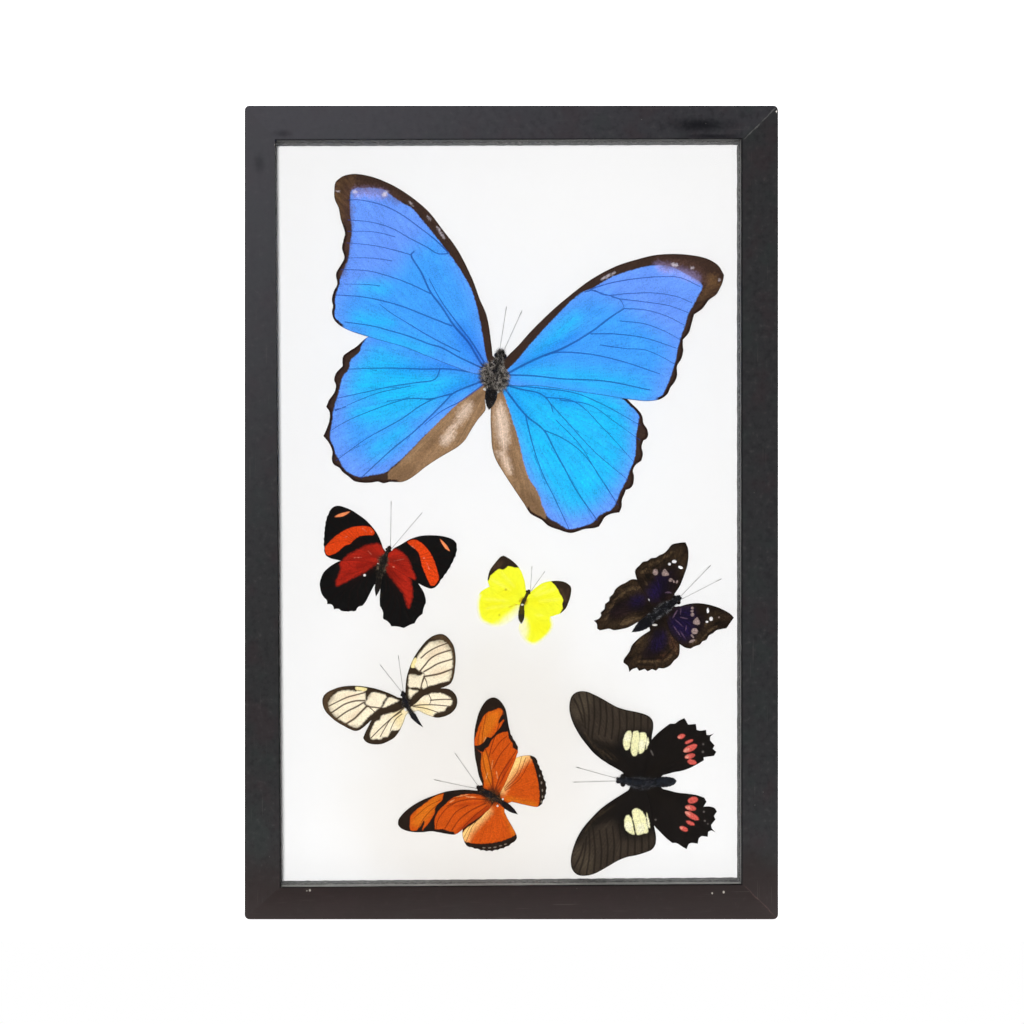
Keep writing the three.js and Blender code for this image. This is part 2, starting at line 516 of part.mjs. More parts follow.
    rightHind: [
      [649, 782], [645, 768], [645, 752], [651.6, 740], [657, 734.2], [663, 729], [670, 723.8],
      [675, 724], [679, 720.8], [684.4, 718.3], [686.2, 721], [688.2, 724.7], [696, 724.2],
      [696.8, 730], [699.8, 730.8], [706.2, 730.1], [706.6, 735], [709.6, 735.2], [713.8, 733.6],
      [710.2, 737], [710.2, 740.4], [714.6, 745.6], [712.8, 748.8], [716.3, 752], [714, 756],
      [703.6, 757.4], [704, 760.4], [697.2, 764.4], [689.4, 768.4], [681.6, 771], [673.8, 772.4],
      [664.8, 774.8], [657, 776],
    ],
  },
];

// Which of a side's two wings lies on top is the same for all: the forewing over the hindwing.
const HIND_BACK = BOARD_FRONT - GAP;
const FORE_BACK = HIND_BACK - WING_THICKNESS - GAP;

/** A grid point as [x, z] in the frame. */
function onBoard([gridX, gridY]) {
  return [
    (gridX - GRID_CENTRE.x) * GRID_SQUARE,
    FRAME_HEIGHT / 2 - (gridY - GRID_CENTRE.y) * GRID_SQUARE,
  ];
}

/** A wing's outline: the smooth closed line through its points, in facets no longer than FACET. */
function smoothOutline(points) {
  const curve = new THREE.CatmullRomCurve3(
    points.map(([x, y]) => new THREE.Vector3(x, y, 0)), true, 'centripetal');
  const outline = [];
  points.forEach((start, i) => {
    const end = points[(i + 1) % points.length];
    const length = Math.hypot(end[0] - start[0], end[1] - start[1]);
    const facets = Math.max(1, Math.round(length / FACET));
    for (let j = 0; j < facets; j += 1) {
      const { x, y } = curve.getPoint((i + j / facets) / points.length);
      outline.push(new THREE.Vector2(...onBoard([x, y])));
    }
  });
  return outline;
}

/** A body along its spine, lying on the board; grown by clearance where it cuts the wings. */
function bodyGeometry(spine, clearance = 0) {
  const fattest = Math.max(...spine.map(([, , half]) => half)) * GRID_SQUARE * BODY_FLATNESS;
  const centres = spine.map((station) => new THREE.Vector2(...onBoard(station)));
  const rings = spine.map(([, , half], i) => {
    const before = centres[Math.max(0, i - 1)];
    const after = centres[Math.min(spine.length - 1, i + 1)];
    const across = after.clone().sub(before).normalize().rotateAround(new THREE.Vector2(), Math.PI / 2);
    const width = Math.max(half * GRID_SQUARE, 0.05) + clearance;
    const depth = Math.max(half * GRID_SQUARE * BODY_FLATNESS, 0.05);
    const lift = GAP + (depth + fattest) / 2;
    return Array.from({ length: BODY_SIDES }, (_, side) => {
      const angle = (side / BODY_SIDES) * Math.PI * 2;
      return new THREE.Vector3(
        centres[i].x + across.x * Math.cos(angle) * width,
        BOARD_FRONT - lift - Math.sin(angle) * (depth + clearance),
        centres[i].y + across.y * Math.cos(angle) * width);
    });
  });
  const caps = Array.from({ length: BODY_SIDES - 2 }, (_, i) => [0, i + 1, i + 2]);
  return loftRings(rings, caps);
}

/** One antenna: a thin rod from the head to its tip, with a club at the end. */
function antennaGeometry([root, tip], startY) {
  const [rootX, rootZ] = onBoard(root);
  const [tipX, tipZ] = onBoard(tip);
  const along = new THREE.Vector3(tipX - rootX, -ANTENNA.rise, tipZ - rootZ);
  const side = new THREE.Vector3(-along.z, 0, along.x).normalize();
  const front = new THREE.Vector3().crossVectors(along, side).normalize();
  const stations = [
    [0, ANTENNA.radius],
    [1 - ANTENNA.clubShare * 2, ANTENNA.radius],
    [1 - ANTENNA.clubShare, ANTENNA.clubRadius],
    [0.98, ANTENNA.clubRadius],
    [1, ANTENNA.radius],
  ];
  const rings = stations.map(([share, radius]) => {
    const centre = new THREE.Vector3(rootX, startY, rootZ).addScaledVector(along, share);
    return Array.from({ length: ANTENNA.sides }, (_, corner) => {
      const angle = (corner / ANTENNA.sides) * Math.PI * 2;
      return centre.clone()
        .addScaledVector(side, Math.cos(angle) * radius)
        .addScaledVector(front, Math.sin(angle) * radius);
    });
  });
  const caps = Array.from({ length: ANTENNA.sides - 2 }, (_, i) => [0, i + 1, i + 2]);
  return loftRings(rings, caps);
}

function addButterfly(butterfly) {
  const { name, spine } = butterfly;
  const fattest = Math.max(...spine.map(([, , half]) => half)) * GRID_SQUARE * BODY_FLATNESS;
  const headDepth = spine[2][2] * GRID_SQUARE * BODY_FLATNESS;
  const headY = BOARD_FRONT - GAP - (headDepth + fattest) / 2;
  let body = toSolid(bodyGeometry(spine));
  for (const antenna of butterfly.antennae) {
    body = body.add(toSolid(antennaGeometry(antenna, headY)));
  }
  addPiece(`${name}_body`, toGeometry(body), DARK_CHITIN);

  const room = toSolid(bodyGeometry(spine, GAP + 0.05));
  const wingFinish = finish(butterfly.color, 0.6);
  const wings = [
    ['left_forewing', butterfly.leftFore, FORE_BACK],
    ['right_forewing', butterfly.rightFore, FORE_BACK],
    ['left_hindwing', butterfly.leftHind, HIND_BACK],
    ['right_hindwing', butterfly.rightHind, HIND_BACK],
  ];
  for (const [wing, points, back] of wings) {
    const whole = toSolid(plate(smoothOutline(points), back, WING_THICKNESS));
    addPiece(`${name}_${wing}`, toGeometry(largestBody(whole.subtract(room))), wingFinish);
  }
}

// ---- assembly -------------------------------------------------------------------------------------
addFrame();
addPiece('front_glass', rabbetSheet(GLASS_FRONT, GLASS_THICKNESS), CLEAR_GLASS);
addSpacers();
addPiece('mount_board', rabbetSheet(BOARD_FRONT, BOARD_THICKNESS), OFF_WHITE_BOARD);
addPiece('back_panel', rabbetSheet(PANEL_FRONT, BACK_PANEL_THICKNESS), BROWN_HARDBOARD);
addPoints();
addHanger();
BUTTERFLIES.forEach(addButterfly);

export default part;
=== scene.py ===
import json
import math
from typing import NamedTuple

import bmesh
import bpy
import numpy as np
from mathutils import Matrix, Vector, geometry

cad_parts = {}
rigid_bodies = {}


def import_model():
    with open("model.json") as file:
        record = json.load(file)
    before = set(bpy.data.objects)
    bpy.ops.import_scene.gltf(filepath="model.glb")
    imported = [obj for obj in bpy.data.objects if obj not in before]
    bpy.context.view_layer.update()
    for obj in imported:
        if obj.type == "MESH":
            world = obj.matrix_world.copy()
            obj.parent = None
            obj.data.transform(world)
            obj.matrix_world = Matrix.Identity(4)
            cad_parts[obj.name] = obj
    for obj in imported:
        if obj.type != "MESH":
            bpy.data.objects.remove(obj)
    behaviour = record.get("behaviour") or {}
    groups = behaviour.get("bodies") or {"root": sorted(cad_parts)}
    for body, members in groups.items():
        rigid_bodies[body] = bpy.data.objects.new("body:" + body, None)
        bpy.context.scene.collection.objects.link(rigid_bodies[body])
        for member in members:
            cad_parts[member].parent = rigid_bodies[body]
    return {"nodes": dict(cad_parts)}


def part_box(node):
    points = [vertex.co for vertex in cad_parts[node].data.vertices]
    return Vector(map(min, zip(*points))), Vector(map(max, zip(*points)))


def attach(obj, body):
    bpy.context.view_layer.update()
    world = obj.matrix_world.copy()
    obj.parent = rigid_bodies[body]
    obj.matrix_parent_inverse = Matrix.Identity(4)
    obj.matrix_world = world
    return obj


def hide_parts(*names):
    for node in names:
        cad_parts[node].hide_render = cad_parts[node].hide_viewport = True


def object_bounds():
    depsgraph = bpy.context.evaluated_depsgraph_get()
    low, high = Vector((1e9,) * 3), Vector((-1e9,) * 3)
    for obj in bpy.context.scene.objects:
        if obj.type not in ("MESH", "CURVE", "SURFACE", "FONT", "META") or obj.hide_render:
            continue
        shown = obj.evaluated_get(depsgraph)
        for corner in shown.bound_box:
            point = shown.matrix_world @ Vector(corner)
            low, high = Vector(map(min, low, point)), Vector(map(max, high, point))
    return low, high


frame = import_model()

bl_info = {
    "name": "Framed Butterflies",
    "version": (1, 0, 0),
    "blender": (4, 5, 0),
    "location": "3D View > Sidebar > Specimen",
    "description": "Dresses a black wooden display frame with seven set butterflies",
    "category": "Add Mesh",
}

CAD_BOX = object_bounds()
MM = 0.001

# ---- the drawing grid that veins and markings are given on, x to the right and y down --------------
SQUARE = 0.381                            # millimetres to one square
GRID_MIDDLE = (511.4, 512.45)             # the square that lies over the frame's middle
FRAME_MIDDLE_X = (CAD_BOX[0][0] + CAD_BOX[1][0]) / 2 / MM
FRAME_MIDDLE_Z = (CAD_BOX[0][2] + CAD_BOX[1][2]) / 2 / MM
BOARD_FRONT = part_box("mount_board")[0][1] / MM

WINGS = ("left_forewing", "right_forewing", "left_hindwing", "right_hindwing")


# ---- small tools ------------------------------------------------------------------------------------
def paint(code):
    """A linear RGBA colour from a hex code such as '#808080'."""
    values = [int(code[i:i + 2], 16) / 255 for i in (1, 3, 5)]
    linear = [v / 12.92 if v <= 0.04045 else ((v + 0.055) / 1.055) ** 2.4 for v in values]
    return (*linear, 1.0)


def opaque(colour):
    """A setting's colour with full alpha."""
    return (*colour, 1.0)


def on_board(points):
    """Grid squares as (x, z) millimetres over the board."""
    squares = np.asarray(points, dtype=float)
    across = FRAME_MIDDLE_X + (squares[:, 0] - GRID_MIDDLE[0]) * SQUARE
    up = FRAME_MIDDLE_Z - (squares[:, 1] - GRID_MIDDLE[1]) * SQUARE
    return np.column_stack([across, up])


def smooth_line(points, step, closed=False):
    """Points about one step apart along the centripetal Catmull-Rom curve through the given ones."""
    points = np.asarray(points, dtype=float)
    if len(points) < 3:
        count = max(2, int(np.linalg.norm(points[-1] - points[0]) / step) + 1)
        return points[0] + np.linspace(0, 1, count)[:, None] * (points[-1] - points[0])
    if closed:
        padded = np.vstack([points[-1], points, points[0], points[1]])
    else:
        padded = np.vstack([2 * points[0] - points[1], points, 2 * points[-1] - points[-2]])
    line = []
    for i in range(1, len(padded) - 2):
        p = padded[i - 1:i + 3]
        knots = np.concatenate([[0], np.cumsum(np.linalg.norm(np.diff(p, axis=0), axis=1) ** 0.5)])
        if min(np.diff(knots)) < 1e-9:
            line.append(p[1:2])
            continue
        count = max(1, int(round(np.linalg.norm(p[2] - p[1]) / step)))
        t = knots[1] + (knots[2] - knots[1]) * (np.arange(count) / count)[:, None]
        level = [
            (knots[j + 1] - t) / (knots[j + 1] - knots[j]) * p[j]
            + (t - knots[j]) / (knots[j + 1] - knots[j]) * p[j + 1]
            for j in range(3)
        ]
        level = [
            (knots[j + 2] - t) / (knots[j + 2] - knots[j]) * level[j]
            + (t - knots[j]) / (knots[j + 2] - knots[j]) * level[j + 1]
            for j in range(2)
        ]
        span = knots[2] - knots[1]
        line.append((knots[2] - t) / span * level[0] + (t - knots[1]) / span * level[1])
    if not closed:
        line.append(points[-1:])
    return np.vstack(line)


def inside(points, loop):
    """True for each point that lies within a closed line."""
    x, y = points[:, 0], points[:, 1]
    found = np.zeros(len(points), dtype=bool)
    for (x0, y0), (x1, y1) in zip(loop, np.roll(loop, -1, axis=0)):
        if y0 == y1:
            continue
        crosses = (y0 > y) != (y1 > y)
        found ^= crosses & (x < (x1 - x0) * (y - y0) / (y1 - y0) + x0)
    return found


def distance(points, line, closed=False, widths=None):
    """The distance of each point from a line; over the line's half width where widths are given."""
    ends = np.roll(line, -1, axis=0) if closed else line[1:]
    starts = line if closed else line[:-1]
    best = np.full(len(points), 99.0)
    for i, (a, b) in enumerate(zip(starts, ends)):
        run = b - a
        share = np.clip(((points - a) @ run) / max(run @ run, 1e-12), 0, 1)
        gap = np.linalg.norm(points - a - share[:, None] * run, axis=1)
        if widths is not None:
            gap = gap / (widths[i] + (widths[i + 1] - widths[i]) * share)
        best = np.minimum(best, gap)
    return best


def spot(x, y, half_long, half_wide=None, tilt=0.0):
    """An oval marking, its long axis turned by tilt degrees up from the x axis."""
    half_wide = half_wide or half_long
    turn = math.radians(tilt)
    outline = []
    for i in range(8):
        angle = math.tau * i / 8
        along, aside = half_long * math.cos(angle), half_wide * math.sin(angle)
        outline.append((
            x + along * math.cos(turn) + aside * math.sin(turn),
            y - along * math.sin(turn) + aside * math.cos(turn),
        ))
    return outline


class Vein(NamedTuple):
    """A vein through points on the grid, from its thick end to its thin one, in millimetres."""
    points: list
    half_width: float = 0.2
    thin: float = 0.6


def fan(starts, ends, count, half_width=0.16, thin=0.7, bend=0.0):
    """Veins from evenly spaced places on one line to evenly spaced places on another."""
    def spread(line):
        fine = smooth_line(line, 0.5)
        return fine[np.linspace(0, len(fine) - 1, count).astype(int)]
    veins = []
    for a, b in zip(spread(starts), spread(ends)):
        side = np.array([b[1] - a[1], a[0] - b[0]]) * bend
        veins.append(Vein([tuple(a), tuple((a + b) / 2 + side), tuple(b)], half_width, thin))
    return veins


# ---- node helpers -----------------------------------------------------------------------------------
GROUPS = {}


class Nodes:
    """Short calls for filling one node tree."""

    def __init__(self, tree):
        self.tree = tree
        tree.nodes.clear()

    def add(self, kind, inputs=None, **settings):
        node = self.tree.nodes.new(kind)
        for name, value in settings.items():
            setattr(node, name, value)
        for name, value in (inputs or {}).items():
            self.feed(open_socket(node.inputs, name), value)
        return node

    def feed(self, socket, value):
        if isinstance(value, bpy.types.NodeSocket):
            self.tree.links.new(value, socket)
        else:
            socket.default_value = value

    def maths(self, operation, a, b=0.0):
        node = self.add("ShaderNodeMath", operation=operation)
        self.feed(node.inputs[0], a)
        self.feed(node.inputs[1], b)
        return node.outputs[0]

    def times(self, a, b):
        return self.maths("MULTIPLY", a, b)

    def plus(self, a, b):
        return self.maths("ADD", a, b)

    def minus(self, a, b):
        return self.maths("SUBTRACT", a, b)

    def vector(self, operation, a, b):
        node = self.add("ShaderNodeVectorMath", operation=operation)
        self.feed(node.inputs[0], a)
        self.feed(node.inputs[1], b)
        return node.outputs[0]

    def mix(self, factor, a, b, blend="MIX"):
        node = self.add("ShaderNodeMix", data_type="RGBA", blend_type=blend)
        self.feed(node.inputs[0], factor)
        self.feed(node.inputs[6], a)
        self.feed(node.inputs[7], b)
        return node.outputs[2]

    def noise(self, vector, scale, detail=2.0, roughness=0.5):
        node = self.add("ShaderNodeTexNoise", {
            "Vector": vector, "Scale": scale, "Detail": detail, "Roughness": roughness,
        })
        return node.outputs["Fac"]

    def ramp(self, value, low, high, to_low=0.0, to_high=1.0):
        node = self.add("ShaderNodeMapRange", {
            "Value": value, "From Min": low, "From Max": high, "To Min": to_low, "To Max": to_high,
        }, interpolation_type="SMOOTHSTEP")
        return node.outputs["Result"]

    def group(self, maker, **inputs):
        """The output of the node group that a function makes, made once and shared."""
        if maker not in GROUPS:
            GROUPS[maker] = maker()
        named = {name.replace("_", " "): value for name, value in inputs.items()}
        return self.add("ShaderNodeGroup", named, node_tree=GROUPS[maker]).outputs[0]

    def objects(self):
        return self.add("ShaderNodeTexCoord").outputs["Object"]

    def attribute(self, name):
        return self.add("ShaderNodeAttribute", attribute_name=name).outputs["Fac"]


def open_socket(sockets, name):
    """The socket of that name which is in use."""
    return next(s for s in sockets if s.name == name and s.enabled)


def shader_group(name, inputs, output, kind):
    """An empty shader node group with named inputs and one output, and the parts to fill it."""
    tree = bpy.data.node_groups.new(name, "ShaderNodeTree")
    for label, (socket, value) in inputs.items():
        item = tree.interface.new_socket(label, in_out="INPUT", socket_type=socket)
        if value is not None:
            item.default_value = value
    tree.interface.new_socket(output, in_out="OUTPUT", socket_type=kind)
    n = Nodes(tree)
    entry = n.add("NodeGroupInput").outputs
    return tree, n, entry, n.add("NodeGroupOutput").inputs[0]


FLOAT, COLOUR, VECTOR = "NodeSocketFloat", "NodeSocketColor", "NodeSocketVector"


def soft_edge_group():
    """Mask of a marking from its signed distance, with a feathered and slightly wandering edge."""
    tree, n, given, out = shader_group("Feathered Edge", {
        "Distance": (FLOAT, 0.0), "Feather": (FLOAT, 0.4), "Wander": (FLOAT, 0.1),
        "Wander Size": (FLOAT, 900.0), "Vector": (VECTOR, None),
    }, "Mask", FLOAT)
    swing = n.minus(n.noise(given["Vector"], given["Wander Size"], 3.0), 0.5)
    shift = n.times(swing, n.times(given["Wander"], 2.0))
    moved = n.plus(given["Distance"], shift)
    half = n.times(given["Feather"], 0.5)
    n.feed(out, n.ramp(moved, n.times(half, -1.0), half, 1.0, 0.0))
    return tree


def scale_dust_group():
    """A colour broken up by the small differences from one wing scale to the next."""
    tree, n, given, out = shader_group("Wing Scales", {
        "Colour": (COLOUR, None), "Contrast": (FLOAT, 0.3), "Size": (FLOAT, 5000.0),
        "Vector": (VECTOR, None),
    }, "Colour", COLOUR)
    fine = n.minus(n.noise(given["Vector"], given["Size"], 2.0, 0.7), 0.5)
    patch = n.noise(given["Vector"], n.times(given["Size"], 0.08), 3.0)
    broad = n.times(n.minus(patch, 0.5), 0.45)
    both = n.plus(n.times(fine, 1.5), broad)
    gain = n.plus(1.0, n.times(both, n.times(given["Contrast"], 1.6)))
    shade = n.add("ShaderNodeCombineXYZ", {"X": gain, "Y": gain, "Z": gain}).outputs[0]
    n.feed(out, n.mix(1.0, given["Colour"], shade, "MULTIPLY"))
    return tree


def ray_streak_group():
    """Streaks that run out from the wing's root, from 0 to 1."""
    tree, n, given, out = shader_group("Ray Streaks", {
        "Rays": (VECTOR, None), "Across": (FLOAT, 8.0), "Along": (FLOAT, 0.6),
        "Low": (FLOAT, 0.35), "High": (FLOAT, 0.65),
    }, "Streak", FLOAT)
    size = n.add("ShaderNodeCombineXYZ", {"X": given["Across"], "Y": given["Along"], "Z": 0.0}).outputs[0]
    value = n.noise(n.vector("MULTIPLY", given["Rays"], size), 1.0, 3.0, 0.55)
    n.feed(out, n.ramp(value, given["Low"], given["High"]))
    return tree


def specks_group():
    """Scattered small specks: 1 on a speck and 0 elsewhere."""
    tree, n, given, out = shader_group("Specks", {
        "Vector": (VECTOR, None), "Scale": (FLOAT, 300.0), "Size": (FLOAT, 0.12),
        "Share": (FLOAT, 0.3),
    }, "Mask", FLOAT)
    cells = n.add("ShaderNodeTexVoronoi", {"Vector": given["Vector"], "Scale": given["Scale"]})
    near = n.ramp(cells.outputs["Distance"], n.times(given["Size"], 0.5), given["Size"], 1.0, 0.0)
    dice = n.add("ShaderNodeSeparateColor", {"Color": cells.outputs["Color"]}).outputs[0]
    kept = n.maths("LESS_THAN", dice, given["Share"])
    n.feed(out, n.times(near, kept))
    return tree


def grain_group():
    """Wood grain along the first axis of its vector, from 0 to 1."""
    tree, n, given, out = shader_group("Wood Grain", {
        "Vector": (VECTOR, None), "Fineness": (FLOAT, 14.0), "Stretch": (FLOAT, 0.05),
    }, "Grain", FLOAT)
    size = n.add("ShaderNodeCombineXYZ", {
        "X": n.times(given["Fineness"], given["Stretch"]),
        "Y": given["Fineness"], "Z": given["Fineness"],
    }).outputs[0]
    along = n.vector("MULTIPLY", given["Vector"], size)
    coarse = n.noise(along, 1.0, 4.0, 0.6)
    fine = n.noise(along, 5.0, 2.0, 0.6)
    both = n.plus(n.times(coarse, 0.6), n.times(fine, 0.4))
    n.feed(out, n.ramp(both, 0.32, 0.68))
    return tree


def new_material(name):
    material = bpy.data.materials.new(name)
    material.use_nodes = True
    return material, Nodes(material.node_tree)


def close_material(n, colour, roughness, height=None, bump=0.1, reach=0.0001, **plain):
    """Ends a material in one Principled shader."""
    inputs = {"Base Color": colour, "Roughness": roughness}
    if height is not None:
        relief = n.add("ShaderNodeBump", {"Strength": bump, "Distance": reach, "Height": height})
        inputs["Normal"] = relief.outputs[0]
    inputs.update({name.replace("_", " "): value for name, value in plain.items()})
    shader = n.add("ShaderNodeBsdfPrincipled", inputs)
    n.add("ShaderNodeOutputMaterial", {"Surface": shader.outputs[0]})
    return shader


# ---- mesh helpers -----------------------------------------------------------------------------------
def mesh_object(name, vertices, faces, materials=()):
    """A new object in the scene from vertices in millimetres."""
    mesh = bpy.data.meshes.new(name)
    mesh.from_pydata((np.asarray(vertices) * MM).tolist(), [], faces)
    for material in materials:
        mesh.materials.append(material)
    mesh.polygons.foreach_set("use_smooth", [True] * len(mesh.polygons))
    mesh.update()
    piece = bpy.data.objects.new(name, mesh)
    bpy.context.scene.collection.objects.link(piece)
    return piece


def wrap(rings, sides):
    """Faces over rings of points that follow each other, with the two end faces."""
    faces = [
        (i * sides + j, i * sides + (j + 1) % sides, (i + 1) * sides + (j + 1) % sides, (i + 1) * sides + j)
        for i in range(rings - 1) for j in range(sides)
    ]
    return faces + [tuple(range(sides))[::-1], tuple((rings - 1) * sides + j for j in range(sides))]


def face_outward(mesh, weld=None):
    """Turns every face outward, after joining points closer than weld metres."""
    shape = bmesh.new()
    shape.from_mesh(mesh)
    if weld:
        bmesh.ops.remove_doubles(shape, verts=shape.verts, dist=weld)
    bmesh.ops.recalc_face_normals(shape, faces=shape.faces)
    shape.to_mesh(mesh)
    shape.free()


def point_attribute(mesh, name, values, kind="FLOAT"):
    field = "vector" if kind == "FLOAT_VECTOR" else "value"
    data = mesh.attributes.new(name, kind, "POINT").data
    data.foreach_set(field, np.asarray(values, dtype=np.float32).ravel())


def dress(piece, node):
    """Puts a finished piece on the model in place of a CAD node."""
    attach(piece, "root")
    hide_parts(node)


def recoat(node, material):
    """Gives a CAD node that keeps its shape its own finish."""
    piece = frame["nodes"][node]
    piece.data.materials.clear()
    piece.data.materials.append(material)


def corners_of(node):
    """The lowest and the highest corner of a CAD node, in millimetres."""
    return tuple(np.array(corner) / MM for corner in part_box(node))


def node_outline(node):
    """The edge of a CAD plate's front face as a closed line, in millimetres of x and z."""
    shape = bmesh.new()
    shape.from_mesh(frame["nodes"][node].data)
    bmesh.ops.remove_doubles(shape, verts=shape.verts, dist=1e-6)
    shape.normal_update()
    front = {face for face in shape.faces if face.normal.y < -0.9}
    following = {}
    for face in front:
        for loop in face.loops:
            if sum(other in front for other in loop.edge.link_faces) == 1:
                following[loop.vert.index] = loop.link_loop_next.vert.index
    shape.verts.ensure_lookup_table()
    runs = []
    while following:
        start = here = next(iter(following))
        run = []
        while here in following:
            run.append(here)
            here = following.pop(here)
            if here == start:
                break
        runs.append(run)
    longest = max(runs, key=len)
    line = np.array([[shape.verts[i].co.x, shape.verts[i].co.z] for i in longest]) / MM
    shape.free()
    return line


def round_off(line, step, corner=38.0):
    """A closed line of facets as a smooth one that keeps its sharp corners."""
    before = line - np.roll(line, 1, axis=0)
    after = np.roll(line, -1, axis=0) - line
    turn = np.degrees(np.arctan2(
        before[:, 0] * after[:, 1] - before[:, 1] * after[:, 0], (before * after).sum(axis=1)))
    corners = np.flatnonzero(abs(turn) > corner)
    if len(corners) < 2:
        return smooth_line(line, step, closed=True)
    runs = []
    for a, b in zip(corners, np.roll(corners, -1)):
        stop = b if b > a else b + len(line)
        run = line[np.arange(a, stop + 1) % len(line)]
        runs.append(smooth_line(run, step)[:-1])
    return np.vstack(runs)


# ---- the wings --------------------------------------------------------------------------------------
class Layer(NamedTuple):
    """One field of coloured scales: its colour, and how its edge fades and wanders in millimetres."""
    name: str
    colour: str
    feather: float = 0.3
    wander: float = 0.12
    strength: float = 1.0
    streaks: float = 0.0
    within: str = ""
    over_veins: bool = False


class Teeth(NamedTuple):
    """A stretch of wing margin that is scalloped: its two ends on the grid and how many scallops."""
    start: tuple
    end: tuple
    count: int
    depth: float = 0.35


class Butterfly(NamedTuple):
    """How one species looks. Spine stations are (x, y, half width) in squares, from the head back."""
    spine: list
    antennae: list
    root: tuple
    ground: str
    layers: list
    marks: dict
    veins: dict
    vein_tint: str = "#303030"
    vein_strength: float = 0.4
    rim: str = "#201814"
    rim_width: float = 0.25
    rim_strength: float = 0.5
    margin: str = "#241812"
    margin_width: float = 1.2
    teeth: dict = {}
    drops: list = []
    margin_blur: float = 0.22
    root_tint: str = "#1c1612"
    root_reach: float = 3.0
    vein_width: float = 1.0
    contrast: float = 0.5
    gloss: float = 0.55
    mesh_step: float = 0.3
    fur: str = "#2a2420"
    fur_tip: str = "#4a4038"
    skin: str = "#1a1614"
    thorax: tuple = (0.2, 0.6)
    side_hair: float = 0.55


def own_veins(outline, root, count=9):
    """Veins by rule: a cell from the root to the middle, and rays from its edge to the margin."""
    reach = np.linalg.norm(outline - root, axis=1)
    far = outline[reach > 0.5 * reach.max()]
    bearing = np.arctan2(far[:, 1] - root[1], far[:, 0] - root[0])
    middle = math.atan2(np.sin(bearing).mean(), np.cos(bearing).mean())
    order = np.argsort((bearing - middle + math.pi) % math.tau)
    tips = far[order[np.linspace(3, len(order) - 4, count).astype(int)]]
    axis = np.array([math.cos(middle), math.sin(middle)])
    aside = np.array([-axis[1], axis[0]])
    lines = []
    for i, tip in enumerate(tips):
        share = 2 * i / (count - 1) - 1
        leave = root + reach.max() * (axis * (0.5 - 0.2 * share ** 2) + aside * 0.09 * share)
        bend = leave + (leave - root) * 0.25 + (tip - leave) * 0.2
        lines.append((np.array([root, (root + leave) / 2, leave, bend, tip]), 0.15, 0.6))
    return lines


def scallop(outline, teeth):
    """The outline with a stretch of its margin drawn in between evenly spaced teeth."""
    outline = outline.copy()
    ends = on_board([teeth.start, teeth.end])
    start, end = (int(np.argmin(np.linalg.norm(outline - p, axis=1))) for p in ends)
    forward = (end - start) % len(outline)
    backward = (start - end) % len(outline)
    run = (start + np.arange(forward + 1)) if forward <= backward else (start - np.arange(backward + 1))
    run %= len(outline)
    line = outline[run]
    heading = np.gradient(line, axis=0)
    heading /= np.maximum(np.linalg.norm(heading, axis=1)[:, None], 1e-9)
    inward = np.column_stack([-heading[:, 1], heading[:, 0]])
    inward *= np.sign(((outline.mean(axis=0) - line) * inward).sum())
    phase = np.linspace(0, teeth.count * math.pi, len(run))
    outline[run] = line + inward * (teeth.depth * np.abs(np.sin(phase)) ** 0.8)[:, None]
    return outline


def lap_under(outline, forewing, root, limit):
    """A hindwing's outline with its edge near the root slipped under the forewing."""
    apart = forewing[None] - outline[:, None]
    gaps = np.linalg.norm(apart, axis=2)
    nearest = gaps.argmin(axis=1)
    gap = gaps.min(axis=1)
    reach = np.linalg.norm(outline - root, axis=1)
    near = np.clip((limit - reach) / (0.3 * limit), 0, 1) * np.clip((1.8 - gap) / 0.6, 0, 1)
    near *= ~inside(outline, forewing)
    way = apart[np.arange(len(outline)), nearest] / np.maximum(gap, 1e-6)[:, None]
    return outline + way * ((gap + 0.8) * near)[:, None]


def tuck_in(outline, look):
    """The outline with its edge beside the thorax drawn in under the thorax."""
    centres, halves, _, _, share = body_frame(look)
    thorax = (share > look.thorax[0] - 0.07) & (share < look.thorax[1] + 0.1)
    centres, halves = centres[thorax], halves[thorax]
    apart = np.linalg.norm(outline[:, None] - centres[None], axis=2)
    nearest = apart.argmin(axis=1)
    gap = apart.min(axis=1) - halves[nearest]
    pull = np.clip((1.3 - gap) / 0.5, 0, 1) * 0.6
    return outline + (centres[nearest] - outline) * pull[:, None]


def vein_lines(look, wing, outline, root):
    """Each vein as (smooth line, half widths along it), clipped to the wing."""
    drawn = look.veins.get(wing)
    if drawn is None:
        raw = own_veins(outline, root)
    else:
        raw = [(on_board(v.points), v.half_width, v.thin) for v in drawn]
    lines = []
    for points, half_width, thin in raw:
        line = smooth_line(points, look.mesh_step)
        widths = half_width * look.vein_width * np.linspace(1.0, thin, len(line))
        kept = inside(line, outline) & (distance(line, outline, closed=True) > 0.12)
        if kept.sum() > 2:
            lines.append((line, widths, kept))
    return lines


def thin_out(points, taken, gap):
    """The points that lie further than a gap from all those already taken."""
    cells = {}
    for p in taken:
        cells.setdefault((int(p[0] // gap), int(p[1] // gap)), []).append(p)
    kept = []
    for p in points:
        cx, cy = int(p[0] // gap), int(p[1] // gap)
        near = (q for i in (-1, 0, 1) for j in (-1, 0, 1) for q in cells.get((cx + i, cy + j), ()))
        if all((p[0] - q[0]) ** 2 + (p[1] - q[1]) ** 2 > gap * gap for q in near):
            kept.append(p)
            cells.setdefault((cx, cy), []).append(p)
    return kept


